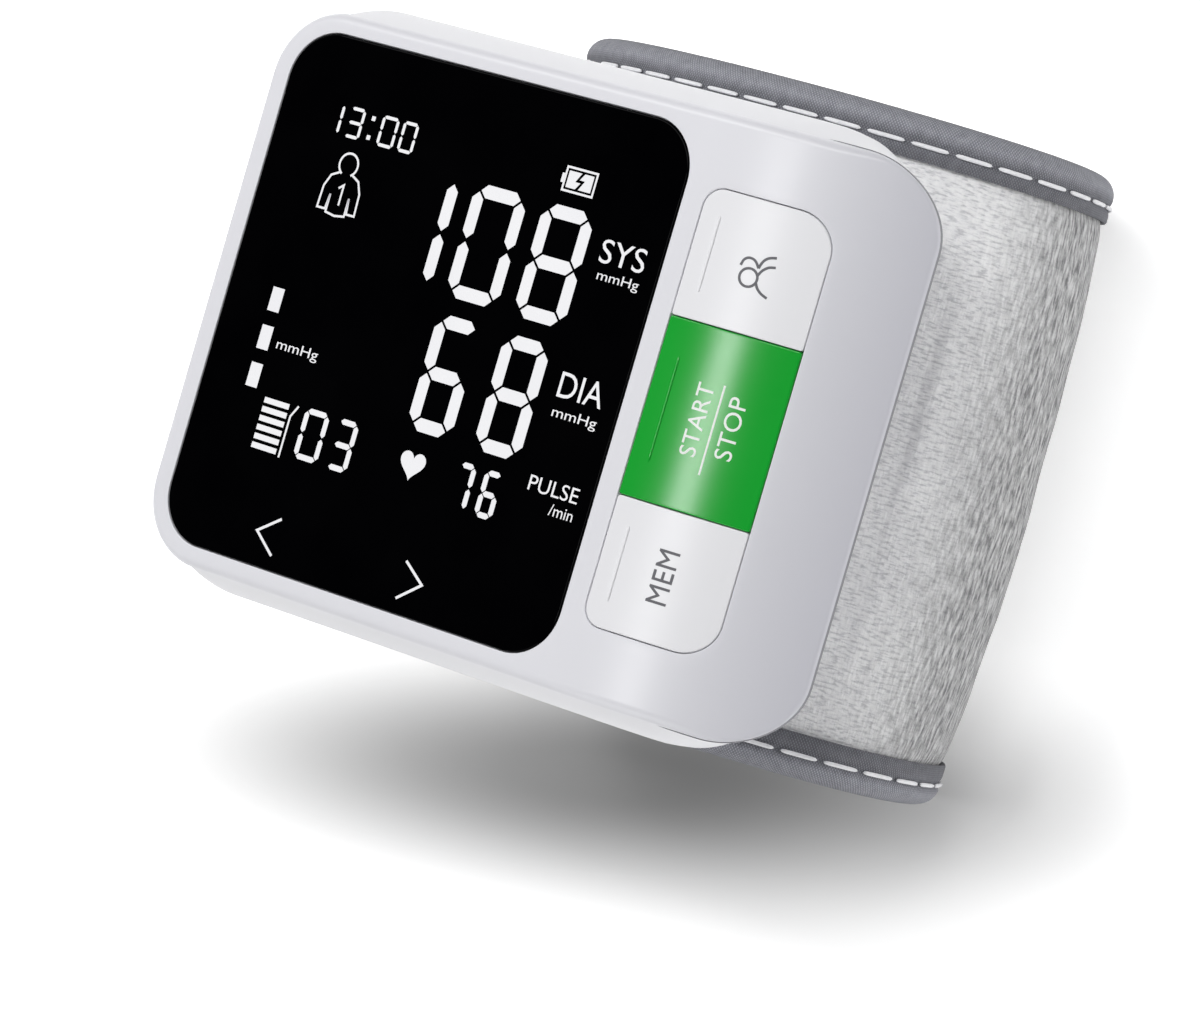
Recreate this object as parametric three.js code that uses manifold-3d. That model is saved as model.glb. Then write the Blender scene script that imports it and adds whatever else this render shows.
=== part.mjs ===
// Wrist blood pressure monitor: a display case with three buttons on a padded wrist cuff.
// Millimetres. X runs across the display, Y towards its top edge and +Z out of its face.
// The origin is on the cuff's resting face, under the middle of the whole object.

import * as THREE from 'three';
import { mergeVertices } from 'three/addons/utils/BufferGeometryUtils.js';
import Module from 'manifold-3d';

const wasm = await Module();
wasm.setup();

// Whole object
const cuffWidth = 72.2;
const caseDrop = 1.7;

// Clearances
const seamGap = 0.3;
const seatGap = 0.1;
const slideGap = 0.25;
const cutOverrun = 2;

// Case face: flat over the display, then an arc that falls away to the right
const faceLeft = -41.5;
const faceRight = 41;
const faceHeight = 62.4;
const faceLeftRadius = 8.2;
const faceRightRadius = 8.2;
const faceFlatEnd = 16;
const faceArcRadius = 38;
const faceThickness = 2.2;
const faceEdgeRadius = 1.2;
const faceUndercut = 1;
const lipDepth = 2;
const lipThickness = 1.2;
const lipRightInset = 5.2;

// Rear shell
const caseDepth = 22;
const caseWall = 2;
const caseSwell = 2.1;
const caseBackRadius = 2.6;
const caseLeftTaper = 0.8;
const caseRightTaper = 8.4;
const swellEndShare = 0.8;
const backRoundShare = 0.72;
const shellDepthShares = [1, 0.97, 0.9, 0.8, 0.66, 0.5, 0.34, 0.2, 0.08, 0];

// Display window and what is behind it
const windowWidth = 54;
const windowMargin = 2.4;
const windowSideMargin = 2.8;
const windowRadius = 5.74;
const windowThickness = 1;
const windowLedge = 2.5;
const moduleMargin = 3.3;
const moduleLeftMargin = 8.5;
const moduleRightMargin = 2.1;
const moduleThickness = 4.2;
const moduleBoardGap = 1.3;
const holderWall = 0.8;

// Button strip, cut from the face as one long opening
const stripLeft = 18;
const stripRight = 32.5;
const stripMargin = 7.7;
const stripLeftRadius = 2.3;
const stripRightRadius = 4;
const startCapHeight = 19.2;
const capFlange = 0.8;
const capFlangeLap = 0.5;
const capEdgeRadius = 0.4;
const capPostRadius = 1.4;
const capBarShare = 0.6;
const capBarWidth = 0.35;
const capBarRise = 0.15;
const capBarInset = 1.9;
const buttonTravel = 0.5;
const stopGap = 0.1;

// Main board and switches
const boardThickness = 1.6;
const boardMargin = 3.2;
const boardLeftMargin = 2;
const boardRightMargin = 8;
const boardRadius = 6;
const switchSize = 4.6;
const switchBodyHeight = 1.6;
const switchPlungerRadius = 1;
const switchPlungerHeight = 0.9;

// Case screws and their bosses
const screwRadius = 0.95;
const screwHoleRadius = 1.15;
const screwGrip = 4;
const screwHeadRadius = 1.5;
const screwHeadHeight = 1.4;
const screwSlotWidth = 0.6;
const screwSlotDepth = 0.7;
const counterboreRadius = 1.8;
const counterboreDepth = 2.8;
const bossRadius = 2;
const bossFlangeGap = 0.2;
const bossNotchGap = 0.4;
const rearBossWall = 1;
const leftScrewInset = 6.9;
const leftScrewDrop = 6.6;
const rightScrewReach = 4;

// Battery and charging socket
const batteryWidth = 30;
const batteryHeight = 40;
const batterySensorGap = 1.7;
const batteryRadius = 2.5;
const batteryRight = -2;
const socketWidth = 9;
const socketHeight = 3.2;
const socketLength = 7.4;
const socketWall = 0.35;
const socketMouthDepth = 6.2;
const socketTongueWidth = 6.6;
const socketTongueThickness = 0.7;
const socketTongueShort = 1;
const socketSetBack = 0.6;

// Pump
const pumpX = 9;
const motorLength = 14;
const motorBottom = -23;
const motorFlatCut = 0.5;
const headLength = 10;
const headWall = 0.9;
const headBoreDepth = 4.6;
const eccentricGap = 1;
const eccentricOffset = 0.8;
const eccentricThickness = 2.4;
const shaftRadius = 0.75;
const shaftBoreRadius = 0.85;
const shaftLength = 5.2;
const shaftBoreDepth = 4;

// Air path
const nozzleRadius = 1;
const nozzleLength = 2.5;
const tubeRadius = 1.6;
const tubeBoreRadius = 1.2;
const manifoldWidth = 8;
const manifoldHeight = 6;
const manifoldY = 11;
const manifoldBoardGap = 0.9;
const manifoldSealGap = 1;
const sensorSize = 7;
const sensorThickness = 3.5;
const sensorPortInset = 1.5;
const valveWidth = 9;
const valveHeight = 12;
const valveFloorGap = 0.8;
const valvePortRadius = 1.3;
const valvePortDepth = 2.6;
const valveLeft = 15.3;
const plungerRadius = 1.4;
const plungerBoreRadius = 1.6;
const plungerBoreDepth = 8.5;
const plungerStand = 1;
const plungerTravel = 0.8;
const nippleRadius = 2;
const nippleBoreRadius = 1.25;
const nippleFlangeRadius = 3.2;
const nippleFlangeThickness = 1;
const sealThickness = 0.8;
const sealInnerRadius = 2.1;
const sealOuterRadius = 3.1;

// Cuff loop: the outer face of its fabric, seen along the wrist
const loopCentreX = 1.8;
const loopHalfWidth = 32;
const loopHalfDepth = 23;
const restHalfWidth = 9;
const fabricThickness = 1.1;
const stiffenerThickness = 0.8;
const bladderThickness = 2.2;
const liningThickness = 1;
const bindingProud = 0.4;
const bindingLeg = 0.6;
const bindingReach = 5;
const bindingBead = 1.8;
const stiffenerMargin = 4.1;
const bladderMargin = 6;
const sectionGap = 0.5;
const plateWidth = 30;
const plateHeight = 38;
const plateStand = 1.6;
const plateRadius = 4;
const plateDepth = 5;
const studRadius = 1.2;
const studX = 11;
const studY = 15;

// Closure
const tabHeight = 48;
const tabThickness = 0.8;
const hookThickness = 0.4;
const patchMargin = 1.5;

// Places round the loop, as shares of a half turn from the case: positive to the right
const hingeShare = -0.28;
const closureShare = -0.71;
const tabStartShare = -0.6;
const tabEndShare = -0.85;
const bladderStartShare = -0.24;
const bladderEndShare = 0.85;
const plateShare = 0.3;

// Counts of facets
const cornerSteps = 5;
const edgeSteps = 4;
const roundSides = 20;
const tubeSides = 10;
const stationsPerHalfTurn = 18;
const beadSteps = 3;
const faceShares = [0.9, 0.8, 0.7, 0.6, 0.5];
const faceSideShares = [0.08, 0.16, 0.24, 0.5, 0.75];
const stripShares = [0.5];
const rimShares = [0.85];

// Sizes that follow from the ones above
const windowLeft = faceLeft + windowSideMargin;
const windowHeight = faceHeight - 2 * windowMargin;
const stripHeight = faceHeight - 2 * stripMargin;
const moduleTop = faceThickness + seamGap;
const boardDepth = moduleTop + moduleThickness + moduleBoardGap;
const boardBack = boardDepth + boardThickness;
const boardHeight = faceHeight - 2 * (caseWall + boardMargin);
const boardLeft = faceLeft + caseWall + boardLeftMargin;
const boardRight = faceRight - caseWall - boardRightMargin;
const innerBack = caseDepth - caseWall;
const bossDepth = boardBack + seamGap;
const headSeatDepth = caseDepth - counterboreDepth;
const screwLength = headSeatDepth - bossDepth + screwGrip;
const displayLevel = bindingProud + 2 * loopHalfDepth + plateStand + caseDepth;
const headSize = innerBack - boardBack - 2 * seamGap;
const motorRadius = headSize / 2 - seatGap;
const headBoreRadius = headSize / 2 - headWall;
const eccentricRadius = headBoreRadius - eccentricOffset - eccentricGap;
const valveThickness = headSize - valveFloorGap;
const batteryThickness = innerBack - boardBack - 2 * seatGap - sensorThickness - batterySensorGap;
const manifoldDepth = boardBack + manifoldBoardGap;
const sensorDepth = manifoldDepth + sensorPortInset;

// Materials
const finish = (color, roughness, metalness = 0) => new THREE.MeshStandardMaterial({ color, roughness, metalness });
const colours = {
  white: 0xe9e9ec,
  shell: 0xdfdfe3,
  black: 0x08080a,
  green: 0x10a035,
  glass: 0x15181c,
  board: 0x1d5a34,
  grey: 0x7c7e88,
  steel: 0xb9bbbf,
  battery: 0xa9adb3,
  dark: 0x2c2d31,
  clear: 0xd7d3c8,
  fabric: 0xc3c4c6,
  lining: 0x4d4f57,
  bladder: 0x33343a,
};

// Solids and meshes

/** A closed solid for joining and cutting, made from a closed geometry. */
function solidOf(geometry) {
  const bare = geometry.clone();
  bare.deleteAttribute('normal');
  bare.deleteAttribute('uv');
  const merged = mergeVertices(bare);
  return new wasm.Manifold(new wasm.Mesh({
    numProp: 3,
    vertProperties: new Float32Array(merged.attributes.position.array),
    triVerts: new Uint32Array(merged.index.array),
  }));
}

/** The geometry of a solid, flat shaded. */
function geometryOf(solid) {
  const { vertProperties, triVerts, numProp } = solid.getMesh();
  const places = [];
  for (let index = 0; index < vertProperties.length; index += numProp) {
    places.push(vertProperties[index], vertProperties[index + 1], vertProperties[index + 2]);
  }
  const geometry = new THREE.BufferGeometry();
  geometry.setAttribute('position', new THREE.Float32BufferAttribute(places, 3));
  geometry.setIndex(Array.from(triVerts));
  geometry.computeVertexNormals();
  return geometry;
}

/** A named mesh in a group. */
function addPart(group, name, solid, material) {
  const mesh = new THREE.Mesh(geometryOf(solid), material);
  mesh.name = name;
  group.add(mesh);
  return mesh;
}

/** Joins solids into one. */
const joined = (...solids) => solids.reduce((whole, solid) => whole.add(solid));

/** Cuts solids away from the first one. */
const cutFrom = (body, ...cutters) => cutters.reduce((rest, cutter) => rest.subtract(cutter), body);

/** A block with its middle at a place. */
function block(sizeX, sizeY, sizeZ, x, y, z) {
  return solidOf(new THREE.BoxGeometry(sizeX, sizeY, sizeZ).translate(x, y, z));
}

/** A round bar along an axis, centred on a place. */
function rod(radius, length, axis, x, y, z, sides = roundSides) {
  const geometry = new THREE.CylinderGeometry(radius, radius, length, sides);
  if (axis === 'z') geometry.rotateX(Math.PI / 2);
  if (axis === 'x') geometry.rotateZ(Math.PI / 2);
  return solidOf(geometry.translate(x, y, z));
}

/** A flat plate with rounded corners, between two depths below the display face. */
function slab(outline, topDepth, bottomDepth) {
  const shape = new THREE.Shape(outlinePoints(outline));
  const geometry = new THREE.ExtrudeGeometry(shape, { depth: bottomDepth - topDepth, bevelEnabled: false });
  return solidOf(geometry.translate(0, 0, -bottomDepth));
}

// Outlines

/** A centred outline's edges, corner radii and the places where its upper and lower edges are divided. */
function outlineOf(left, right, height, leftRadius, rightRadius = leftRadius, sideShares = []) {
  return { left, right, bottom: -height / 2, top: height / 2, leftRadius, rightRadius, sideShares };
}

/** An outline moved inwards by a distance, or outwards where it is negative. */
function insetOutline(outline, inset, rightInset = inset) {
  return {
    ...outline,
    left: outline.left + inset,
    right: outline.right - rightInset,
    bottom: outline.bottom + inset,
    top: outline.top - inset,
    leftRadius: outline.leftRadius - inset,
    rightRadius: outline.rightRadius - inset,
  };
}

/** Points of a rounded outline, anticlockwise. */
function outlinePoints({ left, right, bottom, top, leftRadius, rightRadius, sideShares }) {
  const points = [];
  const addCorner = (x, y, radius, quarter) => {
    for (let step = 0; step <= cornerSteps; step += 1) {
      const angle = (quarter + step / cornerSteps) * (Math.PI / 2);
      points.push(new THREE.Vector2(x + radius * Math.cos(angle), y + radius * Math.sin(angle)));
    }
  };
  const startX = right - rightRadius;
  const length = startX - left - leftRadius;
  const alongTop = sideShares.map((share) => new THREE.Vector2(startX - length * share, top));
  const alongBottom = sideShares.map((share) => new THREE.Vector2(startX - length * share, bottom));
  addCorner(startX, bottom + rightRadius, rightRadius, -1);
  addCorner(startX, top - rightRadius, rightRadius, 0);
  points.push(...alongTop);
  addCorner(left + leftRadius, top - leftRadius, leftRadius, 1);
  addCorner(left + leftRadius, bottom + leftRadius, leftRadius, 2);
  points.push(...alongBottom.toReversed());
  return points;
}

/** How far the case's face has fallen away at a place across it. */
function faceFall(x) {
  if (x <= faceFlatEnd) return 0;
  return faceArcRadius - Math.sqrt(faceArcRadius ** 2 - (x - faceFlatEnd) ** 2);
}

// Lofts

/** A closed geometry through rings of equal count, from the lowest to the highest, with a tip at each end. */
function loft(rings, lowTip, highTip) {
  const count = rings[0].length;
  const places = rings.flat().concat([lowTip, highTip]).flatMap((point) => [point.x, point.y, point.z]);
  const low = rings.length * count;
  const high = low + 1;
  const faces = [];
  for (let side = 0; side < count; side += 1) {
    const next = (side + 1) % count;
    faces.push(low, next, side);
    const last = (rings.length - 1) * count;
    faces.push(high, last + side, last + next);
    for (let ring = 0; ring + 1 < rings.length; ring += 1) {
      const lower = ring * count;
      const upper = lower + count;
      faces.push(lower + side, lower + next, upper + next);
      faces.push(lower + side, upper + next, upper + side);
    }
  }
  const geometry = new THREE.BufferGeometry();
  geometry.setAttribute('position', new THREE.Float32BufferAttribute(places, 3));
  geometry.setIndex(faces);
  return geometry;
}

/** A ring of an outline, each point at the depth that a rule gives for its place across. */
function ringAt(outline, share, depthOf) {
  const middleX = (outline.left + outline.right) / 2;
  return outlinePoints(outline).map((point) => {
    const x = middleX + (point.x - middleX) * share;
    return new THREE.Vector3(x, point.y * share, -depthOf(x));
  });
}

/** The tip in the middle of an outline. */
function tipAt(outline, depthOf) {
  const middleX = (outline.left + outline.right) / 2;
  return new THREE.Vector3(middleX, 0, -depthOf(middleX));
}

/** A plate of even thickness that follows the face's curve, rounded above and drawn in below on the right. */
function curvedPlate(outline, topDepth, thickness, shares, edgeRadius = 0, undercut = 0) {
  const under = (x) => faceFall(x) + topDepth + thickness;
  const over = (x) => faceFall(x) + topDepth;
  const lower = insetOutline(outline, 0, undercut);
  const rings = shares.toReversed().map((share) => ringAt(lower, share, under));
  rings.push(ringAt(lower, 1, under));
  const roundSteps = edgeRadius > 0 ? edgeSteps : 0;
  for (let step = 0; step <= roundSteps; step += 1) {
    const angle = roundSteps > 0 ? (step / roundSteps) * (Math.PI / 2) : 0;
    const inset = edgeRadius * (1 - Math.cos(angle));
    const drop = edgeRadius * (1 - Math.sin(angle));
    rings.push(ringAt(insetOutline(outline, inset), 1, (x) => over(x) + (roundSteps > 0 ? drop : 0)));
  }
  const upper = insetOutline(outline, edgeRadius);
  rings.push(...shares.map((share) => ringAt(upper, share, over)));
  return solidOf(loft(rings, tipAt(lower, under), tipAt(upper, over)));
}

// Rear shell

const faceOutline = outlineOf(faceLeft, faceRight, faceHeight, faceLeftRadius, faceRightRadius, faceSideShares);
const rimOutline = insetOutline(faceOutline, 0, faceUndercut);

/** The rear shell's outline at a share of the way from its rim to its back. */
function shellOutline(share, inset) {
  const turn = Math.max(0, (share - backRoundShare) / (1 - backRoundShare));
  const backInset = caseBackRadius * (1 - Math.sqrt(1 - turn ** 2));
  const swell = caseSwell * Math.sin(Math.PI * Math.min(1, share / swellEndShare));
  const drawn = inset + backInset;
  return {
    ...rimOutline,
    left: rimOutline.left + caseLeftTaper * share + drawn,
    right: rimOutline.right - caseRightTaper * share - drawn,
    bottom: rimOutline.bottom - swell + drawn,
    top: rimOutline.top + swell - drawn,
    leftRadius: faceLeftRadius - drawn,
    rightRadius: faceRightRadius - drawn,
  };
}

/** A body inside the shell's sides, from a back depth up to the rings and the tip given for its top. */
function shellLoft(inset, backDepth, topRings, topTip) {
  const rings = shellDepthShares.map((share) => {
    const depthOf = (x) => rimDepth(x) * (1 - share) + backDepth * share;
    return ringAt(shellOutline(share, inset), 1, depthOf);
  });
  const backTip = tipAt(shellOutline(1, inset), () => backDepth);
  return solidOf(loft([...rings, ...topRings], backTip, topTip));
}

/** The depth of the shell's rim, just under the cover. */
function rimDepth(x) {
  return faceFall(x) + faceThickness + seamGap;
}

// Cuff loop

const loopLevel = loopHalfDepth + bindingProud;
const cuffHalf = cuffWidth / 2;

/** A place on the loop's outer face and the way it faces, at a share of a half turn from the case. */
function loopStation(share) {
  const angle = share * Math.PI;
  const shift = Math.abs(share) > 1 / 2 ? Math.sign(share) * restHalfWidth : 0;
  const halfWidth = loopHalfWidth - Math.abs(shift);
  const facing = new THREE.Vector2(Math.sin(angle) / halfWidth, Math.cos(angle) / loopHalfDepth).normalize();
  return {
    x: shift + halfWidth * Math.sin(angle),
    z: loopLevel + loopHalfDepth * Math.cos(angle),
    facing,
  };
}

/** Places along the loop between two shares; an end past 1 runs on over the resting face. */
function loopStations(start, end) {
  if (end > 1) return [...loopStations(start, 1), ...loopStations(-1, end - 2)];
  const stations = [loopStation(start)];
  const first = Math.floor(start * stationsPerHalfTurn) + 1;
  for (let step = first; step < end * stationsPerHalfTurn; step += 1) {
    stations.push(loopStation(step / stationsPerHalfTurn));
  }
  stations.push(loopStation(end));
  return stations;
}

/** Sweeps a section round part of the loop. The section's points are [offset, y], anticlockwise. */
function sweep(section, stations) {
  const places = [];
  stations.forEach(({ x, z, facing }) => {
    section.forEach(([offset, y]) => places.push(x + facing.x * offset, y, z + facing.y * offset));
  });
  const count = section.length;
  const faces = [];
  for (let ring = 0; ring + 1 < stations.length; ring += 1) {
    for (let side = 0; side < count; side += 1) {
      const next = (side + 1) % count;
      const here = ring * count;
      const ahead = here + count;
      faces.push(here + side, ahead + next, here + next);
      faces.push(here + side, ahead + side, ahead + next);
    }
  }
  const flat = section.map(([offset, y]) => new THREE.Vector2(offset, y));
  const last = (stations.length - 1) * count;
  THREE.ShapeUtils.triangulateShape(flat, []).forEach(([a, b, c]) => {
    faces.push(a, b, c);
    faces.push(last + a, last + c, last + b);
  });
  const geometry = new THREE.BufferGeometry();
  geometry.setAttribute('position', new THREE.Float32BufferAttribute(places, 3));
  geometry.setIndex(faces);
  return solidOf(geometry);
}

/** A plain layer's section between two offsets, as high as stated. */
function layerSection(outer, inner, height) {
  return [[outer, -height / 2], [outer, height / 2], [inner, height / 2], [inner, -height / 2]];
}

/** One face of a layer from bottom to top, stepped in along both edges where the bindings' legs cover it. */
function boundFace(offset, thin) {
  const edge = cuffHalf - bindingBead - seamGap;
  const step = cuffHalf - bindingReach - seamGap;
  if (thin === 0) return [[offset, -edge], [offset, edge]];
  return [
    [offset + thin, -edge],
    [offset + thin, -step],
    [offset, -step],
    [offset, step],
    [offset + thin, step],
    [offset + thin, edge],
  ];
}

/** A fabric layer's section, thinned on one face or the other along its edges. */
function boundSection(outer, inner, outerThin, innerThin) {
  return [...boundFace(outer, -outerThin), ...boundFace(inner, innerThin).toReversed()];
}

const stiffenerOffset = -fabricThickness - seamGap;
const bladderOffset = stiffenerOffset - stiffenerThickness - seamGap;
const liningOffset = bladderOffset - bladderThickness - seamGap;
const innerOffset = liningOffset - liningThickness;
const edgeThin = bindingLeg - bindingProud + seamGap;

/** The section of the edge binding: two legs and a rounded bead over the cuff's edge, at +1 or -1 along Y. */
function bindingSection(side) {
  const outer = bindingProud;
  const inner = innerOffset - bindingProud;
  const start = cuffHalf - bindingReach;
  const bead = cuffHalf - bindingBead;
  const points = [[outer, start]];
  for (let step = 0; step <= beadSteps; step += 1) {
    const angle = (step / beadSteps) * (Math.PI / 2);
    points.push([outer - bindingBead * (1 - Math.cos(angle)), bead + bindingBead * Math.sin(angle)]);
  }
  for (let step = 0; step <= beadSteps; step += 1) {
    const angle = (1 - step / beadSteps) * (Math.PI / 2);
    points.push([inner + bindingBead * (1 - Math.cos(angle)), bead + bindingBead * Math.sin(angle)]);
  }
  points.push([inner, start], [inner + bindingLeg, start], [inner + bindingLeg, bead]);
  points.push([outer - bindingLeg, bead], [outer - bindingLeg, start]);
  if (side > 0) return points;
  return points.map(([offset, y]) => [offset, -y]).toReversed();
}

// Case assembly

const group = new THREE.Group();
const caseShift = -(faceLeft + faceRight) / 2;
const caseGroup = new THREE.Group();
caseGroup.position.set(caseShift, -caseDrop, displayLevel);
group.add(caseGroup);

const windowOutline = outlineOf(windowLeft, windowLeft + windowWidth, windowHeight, windowRadius);
const stripOutline = outlineOf(
  stripLeft, stripRight, stripHeight, stripLeftRadius, stripRightRadius, stripShares,
);
const stripMiddleX = (stripLeft + stripRight) / 2;
const leftScrewX = faceLeft + leftScrewInset;
const leftScrewY = faceHeight / 2 - leftScrewDrop;
const rightScrewX = stripLeft + rightScrewReach;
const rightScrewY = stripHeight / 2 + capFlangeLap + bossFlangeGap + bossRadius;
const screwPlaces = [
  [leftScrewX, leftScrewY],
  [leftScrewX, -leftScrewY],
  [rightScrewX, rightScrewY],
  [rightScrewX, -rightScrewY],
];
const rearBossDepth = bossDepth + seamGap;
const nippleX = pumpX;
const nippleY = manifoldY;

/** A round bar standing at a place in the case, between two depths. */
function post(radius, x, y, topDepth, bottomDepth, sides = roundSides) {
  return rod(radius, bottomDepth - topDepth, 'z', x, y, -(topDepth + bottomDepth) / 2, sides);
}

function frontCover() {
  const plate = curvedPlate(
    faceOutline, 0, faceThickness, faceShares, faceEdgeRadius, faceUndercut,
  );
  const lipOutline = insetOutline(faceOutline, caseWall + seamGap, lipRightInset);
  const lipStart = faceThickness / 2;
  const lipOuter = curvedPlate(lipOutline, lipStart, lipStart + lipDepth, rimShares);
  const lipHollow = slab(insetOutline(lipOutline, lipThickness), -cutOverrun, faceArcRadius);
  const lip = cutFrom(lipOuter, lipHollow);
  const bosses = screwPlaces.map(([x, y]) => {
    return post(bossRadius, x, y, faceFall(x + bossRadius) + faceThickness / 2, bossDepth);
  });
  const pilots = screwPlaces.map(([x, y]) => {
    const tip = headSeatDepth - screwLength - seamGap;
    return post(screwHoleRadius, x, y, tip, bossDepth + cutOverrun);
  });
  const pocket = slab(insetOutline(windowOutline, -slideGap), -cutOverrun, windowThickness + seamGap);
  const opening = slab(insetOutline(windowOutline, windowLedge), -cutOverrun, faceThickness + cutOverrun);
  const strip = slab(stripOutline, -cutOverrun, boardDepth);
  return cutFrom(joined(plate, lip, ...bosses), pocket, opening, strip, ...pilots);
}

function rearShell() {
  const rim = shellOutline(0, 0);
  const mouth = shellOutline(0, caseWall);
  const outside = shellLoft(0, caseDepth, rimShares.map((share) => ringAt(rim, share, rimDepth)), tipAt(rim, rimDepth));
  const above = () => -cutOverrun;
  const hollow = shellLoft(caseWall, innerBack, [ringAt(mouth, 1, above)], tipAt(mouth, above));
  const bosses = screwPlaces.map(([x, y]) => {
    return post(counterboreRadius + rearBossWall, x, y, rearBossDepth, caseDepth).intersect(outside);
  });
  const holes = screwPlaces.map(([x, y]) => post(screwHoleRadius, x, y, rearBossDepth - cutOverrun, caseDepth));
  const seats = screwPlaces.map(([x, y]) => post(counterboreRadius, x, y, headSeatDepth, caseDepth + cutOverrun));
  const studs = studPlaces().map(([x, y]) => {
    return post(studRadius + seamGap, x, y, innerBack - cutOverrun, caseDepth + cutOverrun);
  });
  const air = post(nippleRadius + seamGap, nippleX, nippleY, innerBack - cutOverrun, caseDepth + cutOverrun);
  const socketHole = socketBar(socketWidth + 2 * seamGap, socketHeight + 2 * seamGap, socketLength)
    .translate([-cutOverrun, 0, 0]);
  return cutFrom(joined(cutFrom(outside, hollow), ...bosses), ...holes, ...seats, ...studs, air, socketHole);
}

/** Where the cuff plate's studs pass through the back of the case. */
function studPlaces() {
  const sides = [-1, 1];
  return sides.flatMap((across) => sides.map((along) => [loopCentreX + across * studX, along * studY]));
}

const socketX = faceLeft + socketSetBack + socketLength / 2;
const socketMiddleDepth = boardBack + seatGap + socketHeight / 2;

/** A bar with round sides, the charging socket's section, lying along X at the socket's place. */
function socketBar(width, height, length) {
  const radius = height / 2;
  const reach = width / 2 - radius;
  const bar = block(length, 2 * reach, height, socketX, 0, -socketMiddleDepth);
  const ends = [-reach, reach].map((y) => rod(radius, length, 'x', socketX, y, -socketMiddleDepth));
  return joined(bar, ...ends);
}

function usbSocket() {
  const can = socketBar(socketWidth, socketHeight, socketLength);
  const hollow = socketBar(socketWidth - 2 * socketWall, socketHeight - 2 * socketWall, socketLength)
    .translate([socketMouthDepth - socketLength, 0, 0]);
  const tongueLength = socketLength - socketTongueShort;
  const tongueX = socketX + (socketLength - tongueLength) / 2;
  const tongue = block(tongueLength, socketTongueWidth, socketTongueThickness, tongueX, 0, -socketMiddleDepth);
  return joined(cutFrom(can, hollow), tongue);
}

function caseScrew([x, y]) {
  const headTop = headSeatDepth + seatGap;
  const head = post(screwHeadRadius, x, y, headTop, headTop + screwHeadHeight);
  const shank = post(screwRadius, x, y, headSeatDepth - screwLength, headTop + screwHeadHeight / 2);
  const slotDepth = headTop + screwHeadHeight - screwSlotDepth / 2;
  const slotLength = screwHeadRadius * Math.SQRT2;
  const acrossSlot = block(slotLength, screwSlotWidth, screwSlotDepth, x, y, -slotDepth);
  const alongSlot = block(screwSlotWidth, slotLength, screwSlotDepth, x, y, -slotDepth);
  return cutFrom(joined(head, shank), acrossSlot, alongSlot);
}

addPart(caseGroup, 'front_cover', frontCover(), finish(colours.white, 0.28));
addPart(caseGroup, 'rear_shell', rearShell(), finish(colours.shell, 0.35));
screwPlaces.forEach((place, index) => {
  addPart(caseGroup, `case_screw_${index + 1}`, caseScrew(place), finish(colours.steel, 0.3, 1));
});

// Display

const windowSolid = slab(windowOutline, 0, windowThickness);
addPart(caseGroup, 'display_window', windowSolid, finish(colours.black, 0.06));

const moduleOutline = outlineOf(
  windowLeft + moduleLeftMargin,
  windowLeft + windowWidth - moduleRightMargin,
  windowHeight - 2 * moduleMargin,
  holderWall,
);
const moduleSolid = slab(moduleOutline, moduleTop, moduleTop + moduleThickness);
addPart(caseGroup, 'display_module', moduleSolid, finish(colours.glass, 0.15));

function displayHolder() {
  const inside = insetOutline(moduleOutline, -seamGap);
  const outer = slab(insetOutline(inside, -holderWall), moduleTop, boardDepth - seatGap);
  return cutFrom(outer, slab(inside, moduleTop - cutOverrun, boardDepth + cutOverrun));
}
addPart(caseGroup, 'display_holder', displayHolder(), finish(colours.white, 0.5));

// Buttons

const switchTopDepth = boardDepth - switchBodyHeight - switchPlungerHeight;
const capDepth = faceThickness + seamGap + capFlange;

/** One cap of the strip, between two heights along it. */
function buttonCap(low, high) {
  const capOutline = insetOutline(stripOutline, slideGap);
  const flangeOutline = insetOutline(stripOutline, -capFlangeLap);
  const top = high >= stripHeight / 2 ? high + cutOverrun : high - slideGap / 2;
  const bottom = low <= -stripHeight / 2 ? low - cutOverrun : low + slideGap / 2;
  const reach = 2 * stripRight;
  const piece = block(reach, top - bottom, reach, stripMiddleX, (top + bottom) / 2, 0);
  const crown = curvedPlate(capOutline, 0, capDepth - capFlange / 2, stripShares, capEdgeRadius);
  const flange = curvedPlate(flangeOutline, capDepth - capFlange, capFlange, stripShares);
  const middle = (high + low) / 2;
  const foot = switchTopDepth - buttonTravel - stopGap;
  const stem = post(capPostRadius, stripMiddleX, middle, capDepth, foot);
  const barX = stripLeft + capBarInset;
  const barDepth = faceFall(barX);
  const bar = block(capBarWidth, (high - low) * capBarShare, 2 * capBarRise, barX, middle, -barDepth);
  return joined(crown.add(flange).intersect(piece), stem, bar);
}

/** A tactile switch on the board under a cap. */
function capSwitch(y) {
  const bodyTop = boardDepth - switchBodyHeight;
  const body = block(switchSize, switchSize, switchBodyHeight, stripMiddleX, y, -(bodyTop + boardDepth) / 2);
  const plunger = post(switchPlungerRadius, stripMiddleX, y, switchTopDepth, boardDepth - switchBodyHeight / 2);
  return joined(body, plunger);
}

const capRuns = [
  { name: 'user', low: startCapHeight / 2, high: stripHeight / 2, colour: colours.white },
  { name: 'start_stop', low: -startCapHeight / 2, high: startCapHeight / 2, colour: colours.green },
  { name: 'memory', low: -stripHeight / 2, high: -startCapHeight / 2, colour: colours.white },
];
capRuns.forEach(({ name, low, high, colour }) => {
  addPart(caseGroup, `${name}_button`, buttonCap(low, high), finish(colour, 0.3));
  addPart(caseGroup, `${name}_switch`, capSwitch((low + high) / 2), finish(colours.dark, 0.4));
});

// Board, battery and socket

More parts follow.
